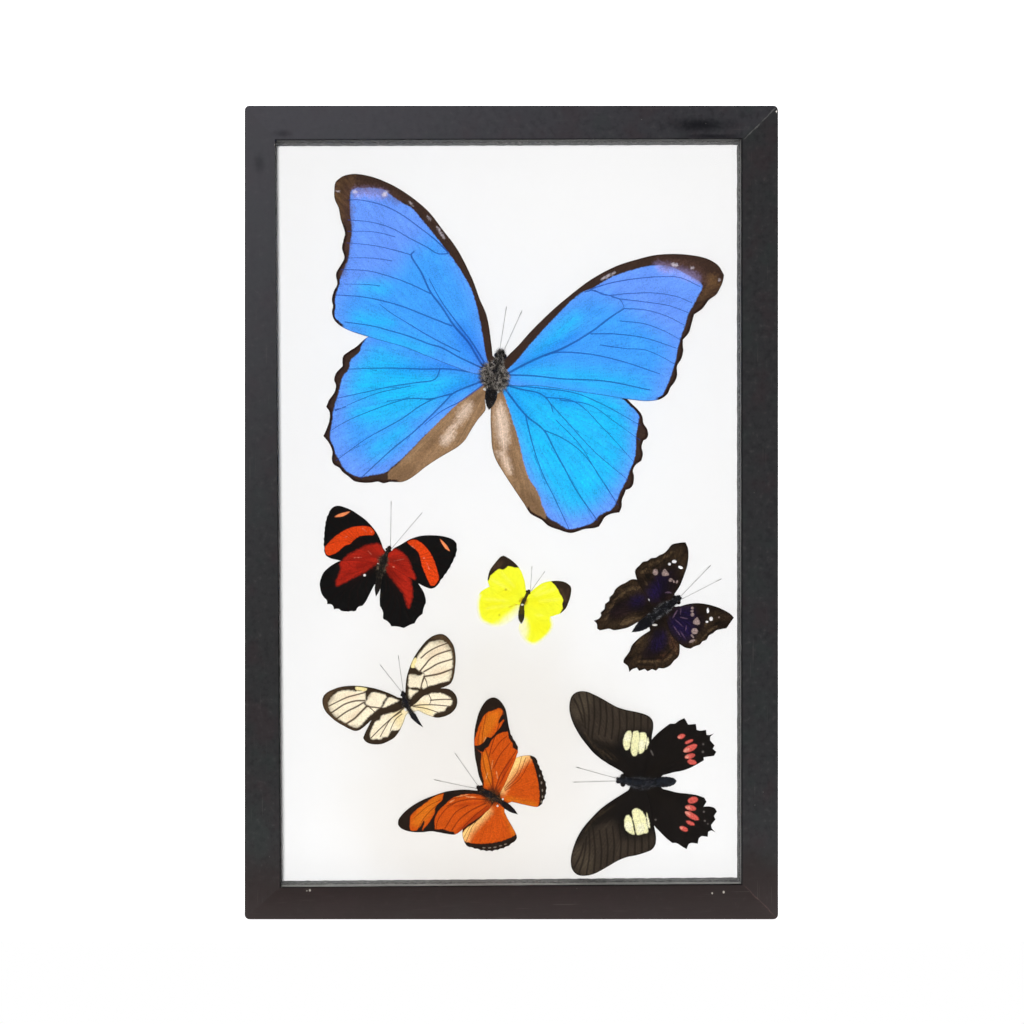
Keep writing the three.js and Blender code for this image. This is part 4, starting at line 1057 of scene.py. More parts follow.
# ---- what each species looks like -------------------------------------------------------------------
BLUE_MORPHO = Butterfly(
    spine=[(501.5, 350, 0), (501, 352, 4.5), (500.3, 357, 5.4), (499, 361, 4.6), (497, 367, 9),
        (495.4, 375, 11.5), (493.6, 383, 10), (492.2, 387.5, 6), (491.5, 393, 6.4), (490.6, 399, 6),
        (489.5, 406, 3.2), (489, 410, 0)],
    antennae=[[(499.5, 352), (506.5, 307)], [(503, 353), (522, 311)]],
    root=(494.5, 375), ground="#3b2a22", mesh_step=0.5, gloss=0.42, vein_tint="#143c8c", vein_strength=0.75,
    vein_width=1.05, root_tint="#2a201a", root_reach=6.0, rim="#1c1411", rim_width=0.4, rim_strength=0.6,
    margin="#2a1a14", margin_width=0.95, thorax=(0.22, 0.62), fur="#0e0d0d", fur_tip="#bab1a7",
    side_hair=0.8,
    drops=[(485.2, 389.4, 2.2, 1.6), (498, 391.2, 1.6, 2.1)],
    layers=[
        Layer("umber", "#7d5c3a", 3.4, 3.0, 0.85, 1.0),
        Layer("tan", "#a5825f", 0.8, 0.3, 1.0, 0.4),
        Layer("dark_tan", "#5c4129", 4.5, 1.4, 0.6, 0.5, "tan"),
        # painted highlight: the pale patches on the tan flaps
        Layer("pale_tan", "#f2d8c2", 4.0, 1.6, 0.95, 0.5, "tan"),
        Layer("blue", "#6799fb", 0.6, 0.4),
        Layer("azure", "#3c9ffb", 14.0, 0.6, 0.95, 0.1, "blue"),
        Layer("cyan", "#12c4fb", 11.0, 0.8, 0.85, 0.3, "blue"),
        Layer("root", "#1b62d8", 9.0, 1.0, 0.7, 0.4, "blue"),
        Layer("lilac", "#b8aef2", 3.0, 2.0, 0.6, 0.6),
        Layer("dusting", "#5a4038", 3.0, 2.2, 0.75, 0.7),
        Layer("fleck", "#e6dde6", 1.1, 0.9, 0.75, 0.3),
    ],
    marks={
        "left_forewing": {
            "blue": [[(488, 372), (485, 352), (481.5, 330), (478.4, 314.5), (472, 291.7), (462, 272.7),
                (450.5, 256), (434, 234.7), (422.7, 220.7), (411.3, 208), (402.4, 203), (391, 195.4),
                (383.4, 190), (365.7, 188), (352, 190), (350, 203), (350.8, 218), (352, 232), (350, 243.5),
                (348.6, 257.5), (345.4, 266), (341, 276.5), (338.4, 285), (336.5, 294), (334.6, 303),
                (334.6, 314.5), (335, 330), (360, 350), (400, 362), (450, 375)]],
            "azure": [[(476, 372), (484, 335), (466, 280), (436, 236), (412, 250), (396, 270), (366, 284),
                (345, 300), (342, 325), (380, 350)]],
            "cyan": [spot(374, 321, 18, 4, -8), spot(400, 342, 30, 3.4, -16), spot(374, 288, 12, 2.4, 0)],
            "root": [spot(470, 345, 24, 8, -55)],
            "dusting": [[(346, 186), (362, 183), (384, 188), (402, 199), (398, 204), (380, 197), (362, 193),
                (350, 196)], [(345, 188), (352, 200), (353, 228), (350, 252), (343, 278), (339, 276),
                (343, 250), (345, 226), (344, 204)]],
            "umber": [[(334, 196), (337, 182), (346, 176), (356, 180), (350, 196), (344, 215), (340, 228),
                (337, 212)]],
            "margin": [[(345, 225), (352, 240), (350, 260), (346, 300), (344, 330), (352, 345), (330, 345),
                (322, 310), (328, 240)]],
            "lilac": [[(353, 189), (360, 187.5), (372, 188), (384, 190), (389, 195), (380, 199), (366, 197),
                (355, 198)]],
            "fleck": [spot(385, 194, 3, 2, 40), spot(411, 204, 3, 0.5, -50), spot(441, 233, 7, 0.8, -57),
                spot(429, 218, 2.6, 0.4, -52), spot(355, 192, 2.4, 1.4, 0), spot(336, 191, 4, 0.4, -8)],
        },
        "right_forewing": {
            "blue": [[(500, 378), (506, 371), (516, 361.5), (530.8, 344), (555.3, 317), (579.8, 294),
                (593, 288), (611, 277.6), (628.8, 271), (653, 265.5), (668, 266), (684, 273), (702, 285),
                (697.4, 297), (693.4, 305), (688.5, 313.5), (685, 325), (681, 336.4), (677.8, 348),
                (675, 362.5), (671, 375.6), (667, 385.4), (660, 398), (640, 410), (560, 400), (510, 390)]],
            "azure": [[(505, 380), (535, 332), (575, 300), (600, 296), (640, 318), (668, 345), (662, 375),
                (650, 402), (560, 402)]],
            "cyan": [spot(575, 376, 60, 6, -6), spot(552, 340, 34, 6, 42), spot(615, 388, 30, 4, -8)],
            "dusting": [[(655, 260), (680, 260), (704, 270), (706, 284), (697, 282), (684, 272),
                (662, 268)]],
            "root": [spot(545, 352, 36, 4, 28)],
            "umber": [[(708, 276), (716, 276), (720, 284), (714, 292), (703, 302), (698, 298), (707, 286)]],
            "margin": [[(690, 300), (684, 325), (676, 350), (668, 375), (656, 392), (664, 410), (684, 400),
                (700, 340), (715, 300)]],
            "lilac": [[(655, 263), (668, 263.5), (684, 268), (700, 276), (699, 283), (680, 277),
                (660, 272)]],
            "fleck": [spot(674.6, 265, 3.4, 1.6, -15), spot(608, 276, 8, 0.9, 28),
                spot(719, 280, 1.6, 0.5, 60), spot(692, 268, 2, 1, -30)],
        },
        "left_hindwing": {
            "tan": [[(490, 380), (470, 393), (452, 408), (435, 425), (415, 446), (398, 464), (388, 474),
                (396, 492), (420, 490), (450, 470), (490, 430), (505, 400)]],
            "dark_tan": [spot(400, 474, 18, 9, 30), spot(424, 452, 24, 3, 46), spot(478, 398, 16, 2, 40)],
            "pale_tan": [spot(464, 412, 11, 4, 52), spot(448, 437, 9, 4, 50), spot(456, 424, 20, 2, 48)],
            "blue": [[(495, 372), (484, 384), (461, 400.5), (441.7, 418.7), (425, 435), (408.7, 451.7),
                (393.5, 465.6), (386, 472), (379, 474), (372, 475), (359, 476.6), (348, 472),
                (342.5, 466.5), (338.6, 459), (332.5, 449), (330, 435), (331.6, 425), (333, 411),
                (336, 401), (339.8, 388), (342.5, 377), (348.7, 369), (351, 360), (360, 351), (365, 335),
                (430, 330), (490, 355)]],
            "azure": [[(490, 378), (440, 350), (380, 330), (352, 366), (346, 410), (345, 440), (372, 462),
                (400, 450), (450, 405)]],
            "cyan": [[(470, 382), (430, 372), (378, 352), (356, 372), (352, 392), (372, 402), (352, 412),
                (372, 424), (410, 416), (446, 396)], spot(390, 440, 22, 5, 42)],
            "root": [spot(462, 386, 24, 5, 24), spot(440, 368, 50, 3, 2)],
            "margin": [[(365, 338), (352, 362), (344, 380), (340, 410), (338, 440), (346, 464), (362, 472),
                (392, 466), (396, 490), (340, 490), (310, 440), (320, 360)]],
        },
        "right_hindwing": {
            "tan": [[(480, 385), (497, 386), (508, 388), (514, 415), (522, 441), (526, 463), (532, 480),
                (540, 494), (546, 512), (540, 530), (500, 505), (478, 460)]],
            "dark_tan": [spot(532, 505, 20, 9, -50), spot(516, 470, 30, 2.4, -72),
                spot(514, 420, 28, 2, -74)],
            "pale_tan": [spot(502, 426, 24, 6, -84), spot(501, 454, 4, 3, 0), spot(506, 462, 12, 2.4, -70)],
            "blue": [[(498, 378), (503, 392), (511, 415), (519, 441), (524, 463), (530, 480), (538, 492),
                (543, 507), (549, 518), (558, 523), (568, 529), (580, 527), (592, 523), (600, 515),
                (612, 509), (617, 500), (621, 490), (626, 481), (630, 470), (634, 460), (636, 448),
                (636, 436), (638, 424), (639, 412), (630, 402), (622, 390), (560, 370)]],
            "azure": [[(500, 380), (560, 380), (625, 400), (630, 445), (612, 490), (575, 512), (548, 490)]],
            "cyan": [[(506, 384), (550, 382), (620, 398), (630, 438), (610, 486), (574, 512), (544, 490),
                (520, 440)]],
            "root": [spot(518, 405, 20, 4, -56), spot(548, 396, 30, 3, -12)],
            "margin": [[(622, 394), (630, 425), (626, 460), (612, 490), (590, 512), (560, 516), (540, 500),
                (520, 520), (560, 545), (620, 530), (660, 440), (640, 395)]],
        },
    },
    veins={
        "left_forewing": [
            Vein([(448, 252.4), (436.6, 241), (420, 228), (403.7, 216), (383.4, 205.5), (359, 200),
                (349, 200)], 0.22),
            Vein([(448, 253.7), (438, 253.7), (426.5, 247), (410, 238.5), (391, 228), (369.5, 222),
                (348, 220)], 0.2),
            Vein([(395, 237), (380, 233), (368, 231.5), (348, 231.5)], 0.15),
            Vein([(411.3, 255), (393.5, 250), (372, 245.4), (347, 243)], 0.18),
            Vein([(486, 370), (479, 360), (468.3, 342.3), (454.3, 326), (441.7, 307), (430.3, 291.7),
                (421.4, 272.7), (411.3, 255), (414, 251.5)], 0.36, 0.7),
            Vein([(484, 362), (470.8, 341), (455.6, 321), (441.7, 302), (429, 279)], 0.28, 0.4),
            Vein([(392, 261), (386, 260), (368, 258), (345, 258)], 0.15),
            Vein([(430.3, 293.6), (410, 284), (391, 277), (368, 271), (341, 269.5)], 0.2),
            Vein([(380, 286), (368, 284.7), (336, 284)], 0.14),
            Vein([(451.8, 326), (429, 317), (403.7, 307), (381, 300.5), (360.6, 296.7), (336, 295)], 0.24),
            Vein([(460, 352), (440, 342), (426.5, 334.7), (410, 324.6), (391, 313), (379.6, 304.3)], 0.2,
                0.5),
            Vein([(484, 369), (458, 356.7), (441.7, 347.8), (429, 344), (411, 337), (391, 331), (372, 326),
                (345, 322)], 0.26),
        ],
        "right_forewing": [
            Vein([(590, 290), (594.5, 288), (611, 283), (633.7, 279), (660, 276.8), (679.5, 277.6),
                (700, 286.6)], 0.2),
            Vein([(585, 292), (594.5, 290.6), (604, 295), (628.8, 293.6), (653, 293), (677.8, 297),
                (692, 303)], 0.18),
            Vein([(594, 291), (609, 295.5), (620.7, 300.4), (624, 308)], 0.18),
            Vein([(612, 297), (620.7, 299), (645, 302), (669.7, 306), (688, 312.7)], 0.18),
            Vein([(500, 378), (516, 369), (539, 357.6), (563.5, 348), (591, 332), (611, 317), (624, 308.6)],
                0.36, 0.7),
            Vein([(624, 308.6), (645, 310), (666, 316), (684, 325)], 0.18),
            Vein([(620, 321), (645, 324), (665, 331.5), (680, 339.6)], 0.16),
            Vein([(591, 334), (614, 334), (645, 338), (677, 348.6)], 0.2),
            Vein([(600, 345), (625.6, 348.6), (645, 350), (663, 357.6), (676, 365)], 0.16),
            Vein([(545, 356), (555, 352.7), (588, 354), (620.7, 361), (660, 374)], 0.22),
            Vein([(506, 375), (530.8, 375.6), (563.5, 379), (604, 381), (650, 390)], 0.26),
        ],
        "left_hindwing": [
            Vein([(484, 374), (477, 373), (449, 369), (422.7, 369), (391, 368), (349, 369)], 0.24),
            Vein([(440, 369), (435, 379), (416, 382.6), (391, 386.4), (365.7, 392), (336, 398.5)], 0.2),
            Vein([(410, 386), (378, 393), (356.8, 401), (335, 411)], 0.15),
            Vein([(431.5, 399.7), (410, 398.5), (365, 413), (343, 423), (330, 431)], 0.17),
            Vein([(450, 394), (431.5, 399.7), (416, 408.6), (403.7, 417.5), (386, 427.6), (365.7, 439),
                (336, 460.5)], 0.2),
            Vein([(486, 379), (479.7, 382), (453, 393.4), (445.5, 401), (429, 417.5), (412.5, 432.7),
                (393.5, 448), (378, 462), (361, 478)], 0.28),
            Vein([(453, 393.4), (431.5, 398.5), (410, 398.5), (387, 401)], 0.2, 0.5),
            Vein([(484, 384), (460.7, 401), (441.7, 411), (425, 424)], 0.24, 0.5),
        ] + fan([(436, 377), (430, 388), (424, 398), (424, 412), (420, 424)], [(352, 366), (336, 400),
            (334, 440), (350, 470), (378, 470)], 7, 0.07, 0.9, 0.03),
        "right_hindwing": [
            Vein([(503, 386), (508.4, 393.4), (525.6, 415), (544, 430.4), (554, 449), (564, 467.4),
                (577.4, 492), (597, 520)], 0.3, 0.6),
            Vein([(525.6, 415.6), (529.3, 431.7), (535.5, 454), (544, 477), (554, 497), (569, 529)], 0.2),
            Vein([(544, 430), (564, 439), (582, 452.6), (594.7, 468.7), (615, 500)], 0.2),
            Vein([(505, 385), (520, 389), (541, 394), (550, 403), (553, 412)], 0.26, 0.6),
            Vein([(550, 403), (570, 425), (595, 452), (628, 480)], 0.17),
            Vein([(545, 397), (575, 402), (605, 430), (634, 462)], 0.17),
            Vein([(560, 400), (590, 405), (615, 422), (640, 440)], 0.15),
            Vein([(508, 385), (540, 388), (575, 393), (602, 404), (640, 425)], 0.2),
            Vein([(556, 420), (580, 445), (600, 478), (618, 505)], 0.15),
        ] + fan([(530, 446), (546, 440), (560, 426), (572, 408)], [(552, 516), (580, 524), (612, 504),
            (630, 466), (636, 424)], 8, 0.07, 0.9, 0.03),
    },
)

RED_CRAMER = Butterfly(
    spine=[(390.6, 545.6, 0), (389.8, 547, 2.4), (388.4, 550, 2.7), (387, 552.6, 2.2), (384.6, 558, 4),
        (382.6, 564.6, 4.3), (380.8, 571, 3.4), (379.6, 575.4, 2.6), (378.6, 582, 3.2), (377.4, 589, 2.8),
        (375.8, 596.8, 0)],
    antennae=[[(390.6, 548), (391.3, 500.5)], [(391.6, 548.6), (422.5, 512.4)]],
    root=(383, 560), ground="#0c0b0b", vein_tint="#2a0c06", vein_strength=0.3, rim="#0a0909", fur="#15130f",
    fur_tip="#8c7c66", side_hair=0.9, root_tint="#2a241c", root_reach=2.6, contrast=0.6,
    teeth={
        "left_hindwing": [Teeth((330, 595), (368, 612), 6, 0.55)],
        "right_hindwing": [Teeth((383, 606), (418, 603), 6, 0.6)],
        "left_forewing": [Teeth((333, 514), (326, 550), 7, 0.26)],
        "right_forewing": [Teeth((455, 545), (438, 582), 7, 0.26)],
    },
    layers=[
        Layer("base_red", "#b42514", 1.3, 0.6, 1.0, 0.3),
        Layer("deep_red", "#6c0c06", 3.0, 0.5, 0.75, 0.5, "base_red"),
        Layer("orange", "#e0430f", 0.35, 0.2, 1.0, 0.15),
        Layer("scratch", "#f0947c", 0.45, 0.4, 0.6, 0.5),
        Layer("streak", "#f08c58", 0.3, 0.1, over_veins=True),
        Layer("white", "#f2f0ee", 0.3, 0.05, over_veins=True),
    ],
    marks={
        "left_forewing": {
            "streak": [[(334.5, 517), (339, 514), (344, 512.5), (350, 511.5), (346, 514.8), (342, 516.6),
                (338, 517)]],
            "orange": [[(325.3, 547), (330, 541.5), (335, 536.5), (341, 532.5), (347, 529), (353, 527),
                (360, 526.2), (367, 526.2), (372, 528.5), (374.5, 532.5), (373, 535), (368, 535),
                (363, 535.5), (358, 537), (354, 540), (350, 544), (345, 545.5), (341, 549), (337, 552.5),
                (332, 554.5), (329, 555.5), (326, 554), (325, 550)]],
            "base_red": [[(343, 561), (349, 554.5), (355, 551), (360, 548.5), (366, 545.5), (372, 544.2),
                (379, 544), (384, 551), (386, 560), (376, 566), (350, 566)]],
            "deep_red": [spot(362, 558, 14, 2.5, 8)],
            "scratch": [spot(364.5, 530, 3.6, 0.35, -42), spot(371, 531, 2, 0.4, -50),
                spot(346, 537, 1.6, 0.3, 30), spot(370, 553, 3, 0.3, -48), spot(358, 557.6, 4, 0.3, 3)],
        },
        "left_hindwing": {
            "base_red": [[(340, 563), (350, 556), (380, 556), (378, 562), (375, 565), (369, 569.5),
                (363, 573.5), (355, 577), (349, 580), (343, 583.5), (336.5, 586), (336, 581), (338.5, 575),
                (341, 569)]],
            "deep_red": [spot(368, 563, 14, 3.5, 22), spot(346, 575, 7, 2, 40)],
            "white": [spot(364.5, 575.3, 1.3)],
        },
        "right_forewing": {
            "streak": [[(440, 539), (443.6, 542), (447.6, 546.5), (449.6, 551), (446, 549),
                (442.5, 544.5)]],
            "orange": [[(407.5, 542), (414, 539.6), (419, 541.2), (424, 545), (429, 551), (433, 558),
                (436.5, 568), (439, 579), (437.5, 581.5), (434, 585.5), (431, 585.5), (427, 578),
                (424, 571), (421.5, 564), (420, 557), (418, 552), (414, 548), (410, 545)]],
            "base_red": [[(388, 547), (394, 548.5), (399, 550.5), (405, 555), (409, 561), (412, 569),
                (415.5, 579), (411, 578.5), (400, 574), (388, 568), (385, 556)]],
            "deep_red": [spot(401, 567, 12, 2, -38)],
            "scratch": [spot(424, 558, 1, 0.8, 0), spot(413, 547, 3, 0.4, -35), spot(399, 560, 5, 0.3, 12),
                spot(393.6, 567, 1, 0.7, 0), spot(428, 566, 4, 0.3, -70)],
        },
        "right_hindwing": {
            "base_red": [[(384, 562), (392, 562), (402, 571), (410, 579), (412, 588), (412, 599),
                (408.5, 608), (406, 602), (403, 594), (398, 587), (392, 579), (387, 572)]],
            "deep_red": [spot(394, 574, 10, 3, -48)],
        },
    },
    veins={},
)

LEMON_YELLOW = Butterfly(
    spine=[(530, 589.8, 0), (529, 591, 2.4), (527.6, 593, 2.2), (526, 596.6, 1.9), (523.8, 601, 2.6),
        (522.4, 604.6, 2.6), (521.8, 607, 2.9), (521.4, 613, 3.3), (521.2, 619, 2.9), (521.2, 624, 0)],
    antennae=[[(530.2, 591), (532, 566)], [(530.6, 591.4), (544.8, 571.2)]],
    root=(523.8, 601), ground="#f1f330", vein_tint="#e0e010", vein_strength=0.25, rim="#c8c818",
    rim_width=0.15, rim_strength=0.15, margin="#f2f1dc", margin_width=0.75, margin_blur=1.0, side_hair=0.3,
    root_tint="#b08a18", root_reach=1.8, contrast=0.12, fur="#4a4012", fur_tip="#a89a3c", skin="#24201a",
    drops=[(522.2, 604.6, 1.5, 1.0)],
    layers=[
        Layer("pale", "#f5f3cc", 3.2, 0.3, 0.95, 0.2),
        Layer("glow", "#efe90c", 5.0, 0.8, 0.6, 0.4),
        Layer("light", "#f5f56a", 2.0, 0.6, 0.7, 0.5),
        Layer("tip", "#2d2118", 0.35, 0.25, over_veins=True),
        Layer("tip_brown", "#4e3a2a", 1.6, 0.6, 0.7, 0.5, "tip", True),
        Layer("dot", "#b0a018", 0.6, 0.1, 0.7, over_veins=True),
        Layer("rust", "#c08a18", 0.5, 0.12, 0.75, over_veins=True),
    ],
    marks={
        "left_forewing": {
            "tip": [[(521, 569), (518.8, 567.8), (514.7, 567.6), (511, 566.5), (508, 566.1), (505.9, 568),
                (503, 569.8), (499.3, 568.9), (496.4, 570.2), (493.5, 573), (490.5, 575.7), (488.3, 580.5),
                (485, 578), (484, 560), (503, 550), (520, 560)]],
            "tip_brown": [spot(498, 565, 7, 3, 35)],
            "glow": [spot(508, 592, 12, 6, 30)],
            "light": [spot(500, 584, 12, 1.2, -30), spot(508, 580, 10, 1, -50)],
            "dot": [spot(505.9, 589.6, 1.2)],
            "rust": [spot(519.5, 601, 1.4, 0.6, 70)],
        },
        "left_hindwing": {
            "pale": [[(512, 612), (505, 617), (500, 622), (490, 628), (505, 632), (519, 622), (519, 606)]],
            "glow": [spot(494, 606, 12, 9, 0)],
            "light": [spot(496, 600, 12, 1, -5), spot(498, 607, 12, 1, 8)],
            "margin": [[(474, 596), (482, 596), (486, 610), (498, 620), (510, 614), (520, 610), (524, 630),
                (495, 640), (470, 620)]],
            "dot": [spot(499.3, 615, 0.9)],
            "rust": [spot(516.5, 604.5, 2.6, 0.6, 10), spot(514, 602.5, 1.6, 0.4, -30),
                spot(511, 606.5, 2.4, 0.3, 24)],
        },
        "right_forewing": {
            "tip": [[(551, 579), (552, 582.3), (555, 585.2), (558.4, 590), (559.8, 593.6), (562.4, 597.7),
                (563, 601.3), (562, 604.3), (562.8, 608), (560.2, 613.5), (570, 612), (576, 590),
                (570, 578)]],
            "tip_brown": [spot(563, 595, 8, 2.6, -65), spot(568, 592, 3, 0.9, 80)],
            "glow": [spot(540, 602, 12, 5, 10)],
            "light": [spot(546, 592, 12, 1.2, 20), spot(550, 600, 11, 1, 5), spot(540, 590, 8, 1, 40)],
        },
        "right_hindwing": {
            "pale": [[(524, 618), (528, 630), (524, 640), (514, 636), (516, 622)]],
            "glow": [spot(540, 628, 10, 8, 0)],
            "light": [spot(546, 614, 10, 1, 8)],
            "margin": [[(556, 612), (549, 622), (545, 634), (532, 640), (520, 630), (514, 650), (560, 660),
                (570, 612)]],
            "rust": [spot(526.4, 604.5, 1.6, 0.5, -50)],
        },
    },
    veins={},
)

PURPLE_EMPEROR = Butterfly(
    spine=[(680.6, 596.4, 0), (679, 597.6, 3.4), (676, 600, 4.6), (673, 602.4, 4), (669, 605, 5.3),
        (663.6, 608.6, 5.8), (658.4, 612.2, 5.2), (654.6, 615, 4.4), (649.4, 619.6, 5.6),
        (642.6, 624.8, 5.6), (636.6, 629, 3.2), (631.4, 632.2, 0)],
    antennae=[[(678.6, 598), (710.6, 564.9)], [(678.6, 600.4), (721.4, 578.4)]],
    root=(663.6, 608.6), ground="#20160f", vein_tint="#0b0808", vein_strength=0.6, rim="#120d0a",
    rim_width=0.7, contrast=1.3, root_tint="#1e150f", root_reach=3.4, fur="#111112", fur_tip="#85868a",
    skin="#0c0d14", side_hair=0.35,
    drops=[(654.5, 624.8, 2.8, 1.2)],
    layers=[
        Layer("brown", "#3a2c1d", 2.4, 2.4, 0.9, 0.7),
        Layer("rust", "#523626", 2.6, 1.6, 0.75, 0.6),
        Layer("core", "#190f14", 3.0, 1.0, 0.85),
        Layer("violet", "#1a0f42", 5.0, 1.8, 0.75, 0.5),
        Layer("band", "#655139", 0.7, 0.6, 0.6, 0.5),
        Layer("line", "#120b08", 0.45, 0.35, 0.95, 0.15),
        Layer("thread", "#7a6078", 0.4, 0.15, 0.6, 0.3, over_veins=True),
        Layer("blush", "#a8928c", 0.5, 0.3, 0.85, 0.25, over_veins=True),
        Layer("white", "#f2f0f2", 0.25, 0.06, over_veins=True),
    ],
    marks={
        "left_forewing": {
            "brown": [[(640, 566), (660, 556), (680, 546), (686, 552), (684, 575), (676, 560), (660, 566),
                (645, 578), (638, 574)], spot(678, 556, 7, 4, 60)],
            "rust": [spot(665.6, 597, 2.4, 1.4, 0), spot(670, 577, 3, 2, 40)],
            "core": [spot(664, 587, 20, 10, 60)],
            "violet": [spot(656, 590, 11, 6.5, 50), spot(662, 578, 6, 4, 40)],
            "band": [spot(643.6, 571, 3.8, 1.4, 33), spot(651.2, 563.8, 3.6, 1.5, 35),
                spot(659.4, 561.4, 3.4, 1.3, 12), spot(666, 556.4, 4, 1.1, 28), spot(672.6, 552, 3, 1, 20),
                spot(646, 583, 3, 1, -50)],
            "line": [spot(648, 576, 3, 3), spot(655.4, 566.6, 6, 0.8, 30), spot(645, 567.6, 5, 0.6, 35),
                spot(664, 561, 5, 0.7, 25)],
            "thread": [[(665, 592.6), (668.5, 591.5), (672, 593.2), (668.5, 593.2)]],
            "blush": [spot(655.4, 572.2, 2.7, 3.2, 0), [(664.6, 569), (668.8, 574.8), (665.5, 576),
                (661.8, 575.2)], spot(670.6, 580, 1.9, 1.6, 40), spot(673.8, 581.4, 0.8, 1.5, 25),
                spot(676.9, 582, 0.9, 1.5, -25)],
            "white": [spot(669.4, 564.1, 1.4), spot(674.2, 561.6, 2.3, 1.6, 0),
                spot(680.4, 567.4, 2.6, 1.3, -25), spot(648.5, 600.2, 1.1, 1.4, 0)],
        },
        "left_hindwing": {
            "brown": [[(596, 616), (606, 598), (618, 584), (634, 578), (648, 590), (636, 594), (618, 600),
                (608, 614), (612, 622), (634, 614), (644, 616), (646, 626), (620, 632), (598, 632)]],
            "core": [spot(624, 608, 16, 7, 30)],
            "rust": [spot(622, 611, 10, 3, 28)],
            "violet": [spot(638, 601, 7, 5, 40)],
            "band": [spot(633, 589, 8, 1.8, 12), spot(620, 596, 8, 1.2, 38), spot(611, 607, 7, 1.2, 55),
                spot(630, 621, 11, 2.6, 18), spot(607, 617, 4, 1, 60)],
            "line": [spot(614, 597.6, 9, 0.8, 44), spot(627, 586.4, 6, 0.7, 20),
                spot(604.6, 610, 6, 0.8, 60), spot(622, 601.6, 9, 0.7, 34)],
        },
        "right_forewing": {
            "brown": [[(700, 640), (708, 628), (722, 620), (731, 617), (716, 612), (704, 622), (700, 632),
                (690, 646), (705, 650), (726, 632)]],
            "core": [spot(688, 622, 18, 12, 0)],
            "violet": [[(672, 618), (680, 608), (692, 609), (693, 624), (692, 636), (684, 640), (675, 634),
                (669, 626)]],
            "band": [spot(712, 629, 6, 1.6, 33), spot(704, 637, 5, 1.3, 45), spot(706, 624, 3, 1.2, 60),
                spot(694, 642, 3.6, 1.4, 30)],
            "line": [spot(709, 634, 9, 0.8, 40), spot(716, 624, 5, 0.8, 30), spot(699, 630, 3, 1, 70)],
            "thread": [spot(675, 614, 5, 0.7, 60), spot(680.6, 611, 3.4, 0.5, 85),
                spot(684, 618, 4, 0.5, -12), spot(679, 623, 6, 0.5, -42), spot(677, 631, 7, 0.6, -55),
                spot(683, 635, 5, 0.5, -55), spot(686, 628, 3, 0.5, 80)],
            "blush": [spot(692.4, 608, 1.2), spot(691.9, 611, 1.4, 1.0), spot(692.2, 614.5, 1.7, 1.9),
                [(697, 617.5), (699.8, 624), (697, 625), (693, 622.4)], spot(694.6, 631.2, 3.2, 3),
                spot(692.4, 636.3, 2.2, 0.8, -50), spot(692, 641, 3.2, 1.2, 25), spot(719, 617.3, 0.9)],
            "white": [spot(707.8, 610.5, 1.2, 2.8), spot(711, 618.8, 1.7, 2.1),
                spot(706.9, 621.8, 1.4, 1.1)],
        },
        "right_hindwing": {
            "brown": [[(668, 632), (682, 640), (681, 658), (668, 668), (640, 668), (628, 664), (640, 655),
                (660, 658), (670, 650), (668, 640)], [(648, 632), (634, 646), (628, 656), (640, 654),
                (652, 642)]],
            "rust": [spot(674, 645, 9, 4, -70), spot(664, 657, 8, 2.4, 20)],
            "core": [spot(652, 650, 12, 7, 45)],
            "violet": [spot(659, 641, 10, 6, 60)],
            "band": [spot(650, 661.6, 13, 1.1, 0), spot(668, 658.4, 7, 1.3, 38), spot(640, 640, 7, 1.6, 48),
                spot(676, 650, 3, 1, 60)],
            "line": [spot(652, 658.6, 14, 0.9, 2), spot(669, 652.6, 7, 0.8, 45),
                spot(646, 665, 10, 0.7, -4)],
        },
    },
    veins={},
)

CREAM, WINDOW_VEIN = "#f5e8cb", "#4a3624"

